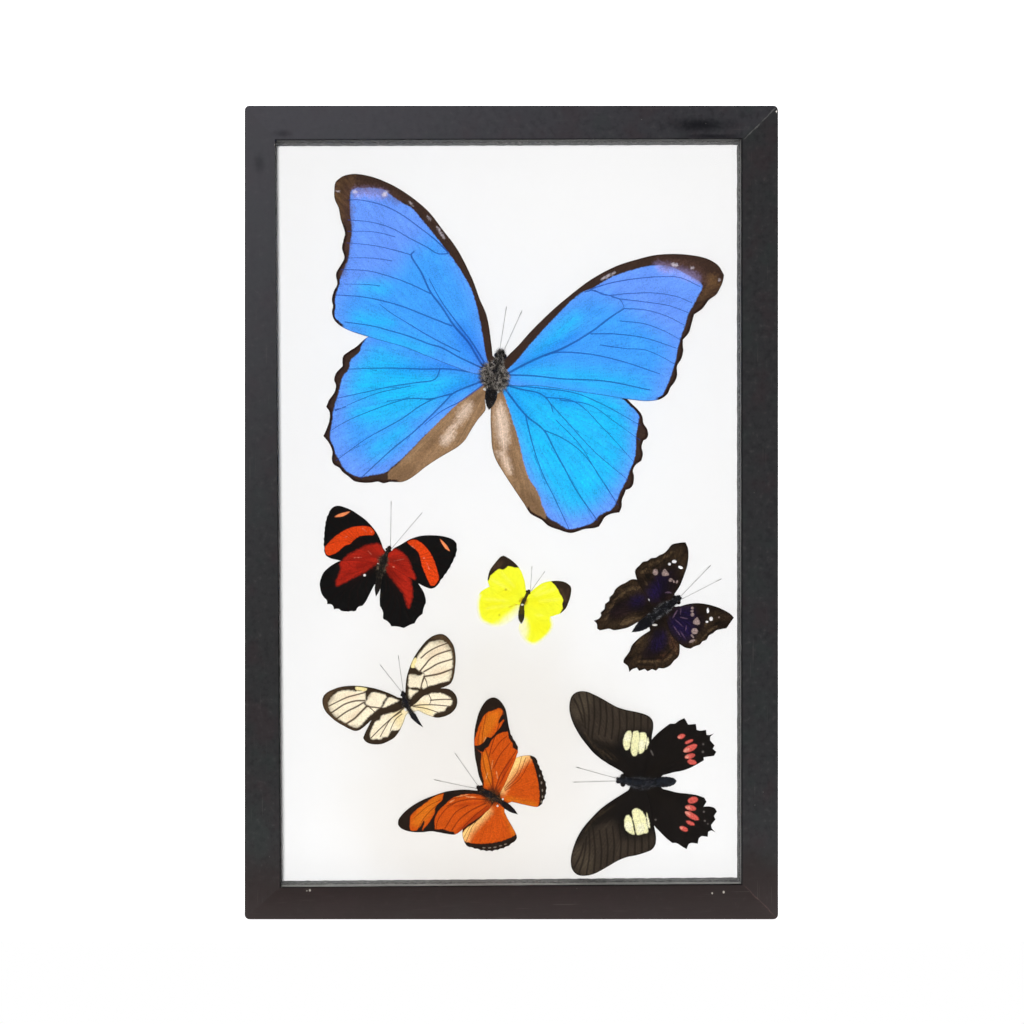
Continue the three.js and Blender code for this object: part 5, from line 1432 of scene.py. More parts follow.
GLASSWING = Butterfly(
    spine=[(402.4, 690.6, 0), (402.8, 692.4, 2.3), (403.6, 695.4, 2.6), (404.2, 698, 2.4), (405, 702, 3.8),
        (407, 706.4, 3.2), (409.2, 709.4, 2.4), (412, 714, 3.2), (415.6, 719, 2.6), (419.2, 723.4, 1.4),
        (423.4, 727.6, 0)],
    antennae=[[(402.6, 693), (380, 664.4)], [(403.6, 693), (398.3, 655)]],
    root=(405, 701), ground="#34281c", vein_tint=WINDOW_VEIN, vein_strength=0.95, vein_width=1.3,
    side_hair=0.35,
    drops=[(405.6, 709.4, 1.2, 1.6)],
    rim="#241a12", rim_width=0.5, contrast=0.35, gloss=0.4, fur="#1c1a18", fur_tip="#968c80",
    skin="#15151d",
    layers=[
        Layer("umber", "#5e4932", 2.6, 1.6, 0.75, 0.6),
        Layer("window", CREAM, 0.8, 0.45),
        Layer("shell", "#e8cfae", 2.4, 0.8, 0.8, 0.5, "window"),
        Layer("amber", "#ecd592", 4.0, 0.5, 0.8, 0.4, "window"),
        Layer("smoke", "#6e5638", 2.6, 1.2, 0.75, 0.6, "window"),
        Layer("gold", "#f0dfa0", 0.4, 0.1),
    ],
    marks={
        "left_forewing": {
            "umber": [[(323, 700), (330, 690), (345, 686), (334, 692), (330, 700), (332, 712), (345, 724),
                (355, 731), (335, 722), (323, 710)]],
            "window": [[(364.5, 691.5), (355, 691), (346, 690.3), (338, 692), (332, 697), (328.5, 703),
                (329.5, 709), (333, 714), (338, 718.6), (345, 722.3), (352, 726.3), (357, 727.5),
                (361, 725), (366, 719.5), (371, 714.5), (376, 710.5), (379, 708), (373, 707.2),
                (367.5, 706.8), (363.6, 702.5), (365.6, 700), (365.2, 696)], [(370, 694), (373, 692.4),
                (380, 693.5), (386.3, 696.2), (383, 702), (380.6, 707), (374, 706.8), (369, 705.8),
                (365.8, 703), (367.5, 699)], [(389, 697.4), (392, 697.8), (397, 699.6), (399, 700.5),
                (394, 703), (387, 706.5), (383, 707.4), (385, 703)]],
            "shell": [spot(350, 697, 9, 3, 12), spot(354, 716, 9, 3, 40)],
            "smoke": [[(327, 712), (327, 700), (332, 693), (334, 698), (331, 704), (333, 712), (340, 719),
                (336, 720)], spot(368.6, 695, 2, 2.4, 0), spot(356, 727, 5, 0.8, -20)],
            "gold": [[(355.4, 687), (362, 687.2), (367, 688.6), (365.5, 691), (360, 690.4),
                (355.6, 689.6)]],
        },
        "right_forewing": {
            "umber": [[(438, 634), (450, 640), (455, 655), (455, 675), (450, 682), (452, 660), (446, 643),
                (432, 638)]],
            "window": [[(415.5, 667), (414.6, 663), (416, 659.6), (420, 653), (425, 647), (430, 642.5),
                (436, 641), (441, 640.3), (446, 643), (450, 648), (452, 655), (452.5, 662), (452, 670),
                (450.5, 677), (449, 680.6), (444, 682), (436, 684), (428, 686.4), (423, 688.4),
                (421.6, 687), (423, 681), (424.4, 676), (424, 672.6), (421, 671.4), (418.5, 670.4)],
                [(409.6, 675), (414, 674.6), (419, 675.6), (423.4, 674), (423.8, 677), (422, 683),
                (420.5, 687.6), (415, 687.2), (409, 686.6), (408.6, 680)], [(409, 689.4), (414, 690.2),
                (418, 690.6), (414, 694), (410.8, 698), (409, 699), (408.6, 694)]],
            "shell": [spot(436, 652, 12, 4, 35), spot(440, 672, 9, 4, 15)],
            "smoke": [[(430, 641), (441, 638), (449, 645), (453, 654), (449, 652), (444, 645), (434, 643)],
                spot(414, 674.6, 4, 1.2, -10), spot(450, 675, 4, 0.8, 80)],
            "gold": [[(416, 657.5), (416.8, 661), (414.8, 664.5), (414.4, 667.6), (411.2, 667.6),
                (411.8, 662), (413.6, 658.8)]],
        },
        "left_hindwing": {
            "window": [[(370.3, 738), (370.5, 733), (372.5, 727), (376, 721.5), (379.6, 720), (381, 717),
                (384, 715), (390, 713.4), (397, 712), (402, 709.8), (407, 706.6), (409, 712), (404.5, 720),
                (401.5, 727), (397, 730.2), (391, 731), (389.5, 733.5), (387.5, 736.5), (383, 737.5),
                (380, 739.8), (376, 738.6), (373, 739.6)]],
            "amber": [[(392, 714), (404, 706), (406, 714), (401, 728), (396, 724)]],
        },
        "right_hindwing": {
            "window": [[(410, 706), (416, 703), (419, 699.5), (422, 696.5), (427, 695), (431, 693.5),
                (437, 693), (443, 693.7), (448, 696.4), (451.5, 699.7), (452.3, 703), (450, 706),
                (446, 707.7), (444.6, 710.8), (440, 711.7), (436, 713), (433, 716), (431, 720), (420, 716),
                (410, 709)]],
            "amber": [[(411, 706), (424, 703), (432, 710), (430, 717), (418, 711)]],
        },
    },
    veins={
        "left_forewing": [
            Vein([(365, 692.4), (357, 694.6), (348, 697), (339, 701), (329, 706)], 0.18, 0.8),
            Vein([(364.6, 700.5), (355, 701), (345, 704), (337, 709), (331, 713)], 0.2, 0.9),
            Vein([(363.5, 702.5), (357, 706.4), (347, 711.4), (337, 718.4)], 0.2, 0.9),
            Vein([(366.5, 706.5), (360, 713), (355, 718), (346, 724)], 0.26, 0.9),
            Vein([(369, 706.8), (372.6, 710), (375.6, 713)], 0.14, 0.6),
            Vein([(366, 706.2), (372, 707), (381, 708)], 0.16, 0.9),
        ],
        "right_forewing": [
            Vein([(420, 671), (425, 665), (430, 659), (436, 655), (444, 652), (451, 650)], 0.2, 0.9),
            Vein([(421, 658), (428, 652), (437, 647), (449, 642.6)], 0.17, 0.9),
            Vein([(424, 671.6), (430, 668.2), (438, 663.6), (452, 659.2)], 0.2, 0.9),
            Vein([(424, 676.5), (438, 674), (446, 671.4), (453, 668.6)], 0.24, 0.9),
            Vein([(424, 677), (422, 683), (420.6, 689)], 0.2, 0.8),
            Vein([(424.8, 678), (426.6, 682), (427.4, 687)], 0.13, 0.7),
        ],
        "left_hindwing": [
            Vein([(403, 709), (393, 717), (382, 727), (371, 738)], 0.15, 0.9),
            Vein([(401, 712), (391, 719), (385, 728), (380, 737)], 0.14, 0.8),
            Vein([(402, 714), (396, 719), (392, 726), (390, 731)], 0.12, 0.8),
        ],
        "right_hindwing": [
            Vein([(412, 706), (421, 705), (435, 705), (451, 706.5)], 0.14, 0.9),
            Vein([(429, 695), (431, 700), (429.6, 704)], 0.12, 0.6),
            Vein([(430.4, 700.4), (440, 699.6), (453, 699.4)], 0.15, 0.9),
            Vein([(413, 706.6), (425, 708.4), (438, 712.4)], 0.13, 0.8),
        ],
    },
)

ORANGE_JULIA = Butterfly(
    spine=[(476.4, 785.8, 0), (478, 787, 2.6), (481, 789, 3.2), (483.4, 790.4, 2.8), (487.6, 793.2, 4),
        (493, 796.6, 4.2), (497.6, 799.6, 3.2), (500.6, 801.6, 2.8), (506, 805.6, 3.4), (512, 810.2, 2.6),
        (518, 814.4, 0)],
    antennae=[[(479, 787), (454.7, 752.4)], [(478, 788.6), (433.7, 779.3)]],
    root=(492, 796), ground="#221710", vein_tint="#5a1c08", side_hair=0.5, vein_strength=0.7,
    vein_width=1.15, root_tint="#3a2010", root_reach=4.2, rim="#1a120d", rim_width=0.3, fur="#20160f",
    fur_tip="#a27a4a", skin="#12131a",
    drops=[(497.6, 805.6, 1.1, 1.1), (502.8, 798.8, 1.0, 1.1)],
    teeth={
        "left_hindwing": [Teeth((470, 846), (514, 842), 8, 0.35)],
        "right_hindwing": [Teeth((536, 762), (541, 803), 8, 0.35)],
        "right_forewing": [Teeth((508, 732), (517, 752), 4, 0.2)],
    },
    layers=[
        Layer("orange", "#bf4f0a", 0.45, 0.3),
        Layer("tawny", "#cf7a16", 3.0, 0.6, 0.9, 0.25, "orange"),
        Layer("flame", "#d64e14", 5.0, 0.8, 0.7, 0.5, "orange"),
        Layer("dusk", "#8a2006", 1.6, 0.4, 0.75, 0.3, "orange"),
        Layer("straw", "#ffd484", 4.6, 0.6, 1.0, 0.2, "orange"),
        Layer("glint", "#f0c080", 0.4, 0.2, 0.7, 0.4),
        Layer("black", "#1c130e", 0.4, 0.2, over_veins=True),
        Layer("lunule", "#9c8e80", 0.4, 0.1, 0.8, over_veins=True),
    ],
    marks={
        "right_forewing": {
            "orange": [[(484, 792), (484, 782), (481.4, 770.6), (481, 762), (481.4, 754), (475.5, 747),
                (474.5, 741), (477, 732), (480, 724), (484, 715.6), (488.5, 712), (494, 710.3),
                (499, 708.2), (502.6, 710.6), (503.2, 718), (507.6, 731.4), (508.8, 738.2), (512, 742.6),
                (513.4, 748), (520, 752), (516, 764), (510, 780), (506, 800), (490, 802)]],
            "tawny": [[(482, 756), (486, 752), (490, 765), (492, 784), (487, 784), (483, 770)], [(480, 744),
                (486, 716), (500, 711), (494, 728)]],
            "flame": [spot(500, 750, 12, 6, 55)],
            "dusk": [[(514, 758), (508, 768), (501, 786), (497, 795), (500, 784), (504, 770), (510, 760)],
                spot(492.6, 784, 8, 1, 85)],
            "glint": [spot(486.6, 776, 4, 0.5, 75), spot(497, 775, 4, 0.5, -80),
                spot(484.6, 740, 3, 0.4, 70), spot(492, 765, 5, 0.4, 80)],
            "black": [[(474.4, 746), (479.6, 745), (484, 741.6), (487.4, 737), (490.4, 737.6), (495.3, 733),
                (501, 726), (504.4, 721), (512, 722), (508.4, 730.8), (502, 732.4), (496.4, 735.4),
                (491, 741), (488.6, 746.4), (485.4, 748.6), (483, 752), (478, 750)], [(498, 723.4),
                (502.4, 714.4), (505, 716), (502.4, 720.6)]],
        },
        "left_forewing": {
            "orange": [[(490, 799), (486, 797.5), (479.6, 795), (470.6, 794), (461.7, 794.6), (455, 796.6),
                (446, 793.4), (438, 795), (430, 799.6), (422, 805.6), (415.8, 810.4), (411, 815.6),
                (410, 822), (410.6, 830), (418, 830.4), (434, 829.2), (440.4, 829), (443.8, 829),
                (448.2, 831), (453.8, 832), (458, 838), (470, 836), (490, 815)]],
            "tawny": [[(440, 795), (420, 808), (412, 824), (420, 826), (436, 806)]],
            "flame": [spot(462, 808, 16, 7, 20), spot(450, 822, 8, 5, 30)],
            "dusk": [[(457, 832), (466, 822), (478, 812), (490, 806), (488, 812), (470, 824), (460, 834)],
                spot(470, 804, 16, 0.9, 8)],
            "glint": [spot(462, 795.6, 6, 0.5, 10), spot(471, 797, 5, 0.5, -5), spot(452, 801, 3, 0.5, 30)],
            "black": [[(444, 793), (450, 790), (456, 795), (449.6, 800), (445, 804.5), (440.4, 808.7),
                (437, 813.3), (434.6, 820), (434.2, 831), (423, 832), (423.6, 829), (427.6, 824.4),
                (431.4, 818.8), (434.8, 812.6), (435, 808.6), (438, 804), (442, 800)], [(416, 832),
                (420, 826.6), (424, 820.4), (424.6, 823), (422.6, 828), (421.6, 832)]],
        },
        "left_hindwing": {
            "orange": [[(490, 804), (486, 812), (478.5, 820), (465, 830), (460, 838), (463, 840.6),
                (470.6, 843), (479.6, 843.8), (490.8, 843.2), (502, 841), (511, 837.6), (517, 834),
                (520, 836), (514, 822), (506, 806), (500, 800)]],
            "straw": [[(458, 842), (466, 841), (472, 832), (481, 822), (490, 811), (486, 806), (470, 818),
                (456, 832)]],
            "flame": [spot(494, 826, 14, 8, 60)],
            "tawny": [[(507, 808), (513, 820), (518, 834), (514, 836), (508, 822), (503, 808)]],
            "lunule": [spot(484, 848, 1.5, 0.5, 0), spot(489.5, 848, 1.6, 0.5, 5),
                spot(495, 847.4, 1.6, 0.5, 8), spot(500.5, 846, 1.5, 0.5, 12),
                spot(505.5, 844.4, 1.3, 0.5, 15)],
        },
        "right_hindwing": {
            "orange": [[(500, 796), (504, 784), (512, 766), (518, 755), (528, 754), (530.6, 757.6),
                (533, 763), (536, 773), (538, 781.8), (539.2, 790.8), (539.6, 797.5), (539, 803),
                (536.7, 808), (520, 806), (505, 802)]],
            "straw": [[(531, 757), (523, 764), (515, 773), (508, 783), (503, 793), (498, 790), (506, 766),
                (518, 750), (531, 751)]],
            "flame": [spot(526, 786, 10, 10, 0)],
            "tawny": [[(506, 800), (520, 804), (536, 807), (535, 803), (520, 800), (507, 797)]],
            "lunule": [spot(541.4, 783, 0.6, 1.4), spot(542.4, 790.6, 0.6, 1.5), spot(542.4, 797, 0.6, 1.4),
                spot(541.4, 802, 0.6, 1.2), spot(539.6, 776, 0.6, 1.2)],
        },
    },
    veins={
        "right_forewing": [
            Vein([(493.6, 793.8), (491.8, 775), (488, 757), (485.5, 749)], 0.2, 0.8),
            Vein([(493, 790), (486, 773), (483, 758), (482, 740), (486, 714)], 0.12, 0.8),
            Vein([(489, 757), (492, 745), (498, 728), (503, 712)], 0.14, 0.8),
            Vein([(491.8, 753.8), (500.5, 741.3), (507, 736)], 0.13, 0.8),
            Vein([(493.4, 768), (500, 755), (510, 743)], 0.16, 0.8),
            Vein([(494.3, 792.5), (500.5, 775), (508, 763), (516, 751)], 0.2, 0.8),
            Vein([(496, 790), (505, 774), (512, 762)], 0.13, 0.7),
            Vein([(480, 752), (478, 742), (481, 726)], 0.1, 0.7),
        ],
        "left_forewing": [
            Vein([(488, 799.6), (470, 799), (456, 802), (447, 806)], 0.2, 0.8),
            Vein([(486, 797), (472, 795), (458, 797.6), (446, 801)], 0.1, 0.8),
            Vein([(455, 803), (446, 809), (438, 820), (436, 829)], 0.14, 0.8),
            Vein([(468, 805), (456, 812), (445, 828)], 0.16, 0.8),
            Vein([(486, 803), (470, 811), (459, 820), (452, 830)], 0.2, 0.8),
            Vein([(487, 806), (474, 816), (462, 828)], 0.13, 0.7),
            Vein([(447, 800), (436, 806), (424, 818), (418, 829)], 0.12, 0.8),
            Vein([(440, 800), (428, 806), (414, 818)], 0.1, 0.8),
        ],
        "left_hindwing": fan([(488, 812), (496, 813), (503, 810)], [(470, 844), (492, 846), (514, 838)], 6,
            0.08, 0.8)
        + fan([(488, 809), (486, 811)], [(460, 836), (466, 842)], 3, 0.1, 0.8, -0.08),
        "right_hindwing": fan([(507, 788), (508, 795), (508, 799)], [(532, 766), (540, 785), (538, 802)], 6,
            0.08, 0.8)
        + fan([(504, 788), (505, 791)], [(522, 756), (530, 760)], 3, 0.12, 0.8, -0.1),
    },
)

ROSE_SWALLOWTAIL = Butterfly(
    spine=[(617.4, 780.6, 0), (619, 780.4, 3.2), (623, 780, 5.6), (626.4, 780.6, 4.6), (630, 781.6, 5),
        (637, 782.6, 5.8), (645, 783, 5.6), (652, 782.6, 4.8), (655.6, 782.2, 4.6), (662, 781.8, 5.6),
        (670, 781.4, 4.8), (674.6, 781, 2.8), (676.6, 780.8, 0)],
    antennae=[[(621, 779), (575.7, 766.6)], [(620.6, 780.4), (573, 781.6)]],
    root=(640, 782), ground="#14100e", vein_tint="#16110d", vein_strength=0.72, vein_width=1.4,
    root_tint="#121010", root_reach=4.0, rim="#0e0b0a", rim_width=0.6, contrast=0.6, side_hair=0.35,
    # the skin's blue-grey is partly the body's dark colour and partly painted sheen on the abdomen
    fur="#0f0f11", fur_tip="#6a6a70", skin="#1c2028",
    layers=[
        Layer("bronze", "#3b3229", 6.0, 1.0, 0.95, 0.3),
        Layer("ash", "#4e4437", 6.0, 1.4, 0.75, 0.3),
        Layer("gleam", "#4a3d2c", 1.0, 0.5, 0.7, 0.4),
        Layer("cream", "#ebe8b4", 0.55, 0.3, over_veins=True),
        Layer("ivory", "#f3efd2", 1.4, 0.4, 0.8, 0.2, "cream", True),
        Layer("slit", "#b8b284", 0.3, 0.1, 0.7, 0.2, "cream", True),
        Layer("pink", "#cf5a50", 0.5, 0.25, over_veins=True),
        Layer("rose", "#f0b09a", 1.2, 0.2, 0.85, 0.3, "pink", True),
        Layer("grey", "#77706c", 0.5, 0.1, 0.6, over_veins=True),
    ],
    marks={
        "right_forewing": {
            "bronze": [[(566, 704), (574, 688), (600, 692), (625, 704), (650, 714), (652, 728), (625, 732),
                (612, 744), (596, 742), (580, 728)]],
            "cream": [[(627, 731.5), (630.6, 731), (631.6, 735), (630.3, 742.2), (628.6, 749.4),
                (625.7, 750), (623.6, 746), (623.4, 739.6), (625.1, 734.4)], [(633.6, 731.6), (638, 731.2),
                (639.4, 736), (638.8, 743), (638, 749.5), (635.8, 755.8), (632.2, 755), (630.8, 749),
                (631.4, 742), (632.4, 736)], [(640, 732.6), (645.2, 733.2), (646.8, 737), (645.2, 745),
                (643.4, 751.6), (639.2, 753.6), (638.4, 750), (639, 743), (639.6, 737)], [(648, 736.8),
                (648.6, 742), (647.6, 746.5), (645.8, 749.4), (646.4, 744)]],
            "ivory": [spot(627, 737, 4, 4), spot(642, 745, 3, 5), spot(647, 743, 2, 5)],
            "ash": [spot(582, 704, 14, 8, 70)],
            "gleam": [spot(607, 755, 11, 0.7, -37), spot(611, 754, 9, 0.6, -40),
                spot(600, 752, 9, 0.6, -50), spot(590, 741, 10, 0.6, -58)],
        },
        "left_forewing": {
            "bronze": [[(566, 860), (590, 880), (625, 866), (650, 852), (655, 836), (625, 838), (612, 822),
                (596, 826), (580, 840)]],
            "cream": [[(629, 815), (632.2, 821.5), (633.5, 829.3), (634.2, 834.5), (629.6, 833.2),
                (625.7, 829.3), (624.4, 822.8), (625.7, 816.3)], [(632.2, 810.5), (636.1, 808.2),
                (641.3, 810.5), (644.6, 815), (646.5, 822.8), (647.8, 831.9), (642, 834), (637.4, 834.5),
                (634.8, 826.7), (632.9, 817.6)], [(646.5, 812.4), (649.4, 822.8), (649.8, 828),
                (648.4, 826), (647, 818)]],
            "ivory": [spot(628, 826, 4, 5), spot(641, 828, 4, 5), spot(648, 822, 2, 6)],
            "slit": [spot(640.4, 821, 10, 0.35, -80)],
            "ash": [spot(584, 862, 14, 8, -70)],
            "gleam": [spot(607, 810, 11, 0.7, 37), spot(600, 813, 9, 0.6, 50), spot(590, 824, 10, 0.6, 58)],
        },
        "right_hindwing": {
            "pink": [spot(681.5, 736.6, 4, 2.2, 20), spot(689, 741.8, 4.6, 1.6, 25),
                spot(690.4, 748.4, 7.6, 3, 25), spot(690, 756.2, 5.2, 2.4, 15),
                spot(691.9, 762.2, 4.8, 2.4, -12)],
            "rose": [spot(686, 750.6, 3.4, 1.5, 25), spot(679, 737.6, 1.4, 1, 20),
                spot(687, 757, 1.8, 1.2, 15)],
            "grey": [spot(703, 752, 1.2), spot(703.4, 744.4, 1), spot(652, 753, 0.7, 3.4, 25)],
        },
        "left_hindwing": {
            "pink": [spot(683.9, 829, 4.4, 2.2, -25), spot(690.4, 823.2, 4.6, 1.8, -25),
                spot(692, 816, 7.8, 2.8, -30), spot(690.7, 808, 5.6, 2.6, -12),
                spot(693, 800.4, 5.2, 3.2, 12)],
            "rose": [spot(687, 813.2, 3.4, 1.3, -30), spot(681, 828, 1.4, 1, -25),
                spot(688, 808, 2.2, 1.2, -12)],
            "grey": [spot(704, 812, 1), spot(705, 821, 1), spot(708, 824, 0.8), spot(655.6, 820, 1, 1, 0)],
        },
    },
    veins={
        "right_forewing": fan([(583, 722), (586.6, 731), (590, 738.6), (594.4, 735.4), (601, 734.6),
            (606, 736.6), (611.4, 738.6), (617, 740.4), (622.2, 742), (629, 745), (636, 748), (643, 753)],
            [(574, 699), (579, 694), (586.4, 692.6), (595.8, 695.4), (603.6, 701.8), (609, 705.4),
            (614.4, 707.8), (619.6, 709.6), (625, 710.8), (632, 711.6), (639, 713), (648, 717)], 12, 0.18,
            1.2, -0.04)
        + fan([(634, 776), (626, 771), (618, 766)], [(606, 742), (600, 741), (592, 739)], 5, 0.16, 0.9,
            -0.05),
        "left_forewing": fan([(584, 843), (587.6, 834), (591, 826.4), (595.4, 829.6), (602, 830.4),
            (607, 828.4), (612.4, 826.4), (618, 824.6), (623.2, 823), (630, 820), (637, 817), (644, 812)],
            [(574, 868), (579, 873.4), (586.4, 875), (596, 872.6), (604, 867.4), (610, 864), (615.4, 861.4),
            (620.6, 859.6), (626, 858), (633, 856.6), (640, 854.6), (649, 850)], 12, 0.18, 1.2, 0.04)
        + fan([(634, 788), (626, 793), (618, 798)], [(606, 823), (600, 824), (592, 826)], 5, 0.16, 0.9,
            0.05),
    },
)

BUTTERFLIES = {
    "blue_morpho": BLUE_MORPHO,
    "red_cramer": RED_CRAMER,
    "lemon_yellow": LEMON_YELLOW,
    "purple_emperor": PURPLE_EMPEROR,
    "glasswing": GLASSWING,
    "orange_julia": ORANGE_JULIA,
    "rose_swallowtail": ROSE_SWALLOWTAIL,
}


# ---- the frame --------------------------------------------------------------------------------------
def rail_profile(face, depth_front, depth_back, lip_back, rabbet, ease, undercut):
    """The rail's section as (distance in from the outer edge, y), closed, going round its outside."""
    def corner(x, y, from_angle):
        steps = np.radians(from_angle + np.linspace(0, 90, 7))
        return [(x + ease * math.cos(a), y + ease * math.sin(a)) for a in steps]
    outline = corner(ease, depth_front + ease, 180)
    outline += corner(face - ease, depth_front + ease, 270)
    outline += [(face - undercut, lip_back), (rabbet, lip_back), (rabbet, depth_back)]
    outline += [(0.4, depth_back), (0.0, depth_back - 0.4)]
    return np.array(outline)


INNER_LEAN = {                # how far each inner edge sits off its true line, at its two ends, millimetres
    "left": (0.4, -1.75), "right": (-0.6, -0.6), "bottom": (-1.15, 0.1), "top": (0.2, 0.75),
}
SPACER_LEAN = {"left": (0.0, -1.7), "right": (-0.75, -0.85), "bottom": (-0.8, 0.6), "top": (-0.05, 0.45)}
UNDERCUT = {"left_rail": 0.7}     # how far a lip's inner face slopes back out of sight, millimetres
CLEARANCE = 0.3                   # between neighbouring pieces, millimetres
LEAN_START, LEAN_FULL = 8.6, 13.3     # how far in from the outer edge the lean begins and is complete
LEAN_FADE = 40.0                  # the lean dies out over this, beyond the inner edge


def settle(x, z, radius):
    """Rounds the frame's outer corners in plan, and lets the inner edges lean as the real ones do."""
    (left, _, foot), (right, _, head) = (np.array(corner) / MM for corner in CAD_BOX)
    across, up = (x - left) / (right - left), (z - foot) / (head - foot)
    shift_x = shift_z = 0.0
    sides = (
        ("left", x - left, up), ("right", right - x, up),
        ("bottom", z - foot, across), ("top", head - z, across),
    )
    for side, inward, share in sides:
        near = np.clip((inward - LEAN_START) / (LEAN_FULL - LEAN_START), 0, 1) ** 2
        near *= np.clip(1 - (inward - LEAN_FULL) / LEAN_FADE, 0, 1)
        moved = near * np.interp(share, (0.05, 0.95), INNER_LEAN[side])
        if side in ("left", "right"):
            shift_x += moved
        else:
            shift_z += moved
    x, z = x + shift_x, z + shift_z
    for side_x, side_z in ((left, foot), (left, head), (right, foot), (right, head)):
        over, beyond = radius - abs(x - side_x), radius - abs(z - side_z)
        if over > 0 and beyond > 0:
            squeeze = max(over, beyond) / math.hypot(over, beyond)
            x = side_x + math.copysign(radius - over * squeeze, -side_x)
            z = side_z + (radius - beyond * squeeze) * (1 if side_z == foot else -1)
    return x, z


def rail_piece(node, material, settings):
    """One mitred rail with rounded front edges, its ends closed against its neighbours."""
    low, high = corners_of(node)
    upright = node in ("left_rail", "right_rail")
    face = (high - low)[0 if upright else 2]
    axis = 2 if upright else 0
    low[axis], high[axis] = (corner[axis] / MM for corner in CAD_BOX)
    glass, _ = corners_of("front_glass")
    lip_back = glass[1] - CLEARANCE
    rabbet = (glass[0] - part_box("left_rail")[0][0] / MM) - CLEARANCE
    undercut = UNDERCUT.get(node, 0.0)
    profile = rail_profile(face, low[1], high[1], lip_back, rabbet, settings.edge_radius, undercut)
    length = (high - low)[axis]
    closed = np.vstack([profile, profile[:1]])
    around = np.concatenate([[0], np.cumsum(np.linalg.norm(np.diff(closed, axis=0), axis=1))])
    ends = np.array([0.0, 0.0008, 0.0018, 0.003, 0.0045, 0.007, 0.0105])
    stations = np.concatenate([ends, np.linspace(0.02, 0.98, 60), 1 - ends[::-1]])
    vertices, uvs = [], []
    count = len(profile)
    for share in stations:
        for j, (inward, y) in enumerate(profile):
            span = length - 2 * inward
            along = inward + span * share
            wobble = 0.03 * math.sin(along * 0.11 + inward) if 0 < share < 1 and inward < 0.3 else 0.0
            along_low = low[axis] + along
            if node == "top_rail":
                vertices.append((along_low, y, high[2] - inward - abs(wobble)))
            elif node == "bottom_rail":
                vertices.append((along_low, y, low[2] + inward))
            elif node == "left_rail":
                vertices.append((low[0] + inward + abs(wobble), y, along_low))
            else:
                vertices.append((high[0] - inward - abs(wobble), y, along_low))
            x, y, z = vertices[-1]
            x, z = settle(x, z, settings.corner_radius)
            vertices[-1] = (x, y, z)
            uvs.append(along / 10)
    piece = mesh_object(f"{node}_stained", vertices, wrap(len(stations), count), materials=[material])
    mesh = piece.data
    layer = mesh.uv_layers.new(name="grain").data
    for polygon in mesh.polygons:
        rows = {mesh.loops[i].vertex_index % count for i in polygon.loop_indices}
        for i in polygon.loop_indices:
            corner = mesh.loops[i].vertex_index
            row = count if rows == {0, count - 1} and corner % count == 0 else corner % count
            layer[i].uv = (uvs[corner], around[row] / 10)
    face_outward(mesh)
    mesh.set_sharp_from_angle(angle=math.radians(28))
    return piece


def oval(n, where, centre, halves):
    """Distance from a centre over an oval's half sizes: 1 on the oval's edge."""
    apart = n.vector("DIVIDE", n.vector("SUBTRACT", where, centre), halves)
    length = n.add("ShaderNodeVectorMath", operation="LENGTH")
    n.feed(length.inputs[0], apart)
    return length.outputs["Value"]


RAIL_FRONT = -0.012               # y of the rails' front faces, near enough to centre marks on, metres


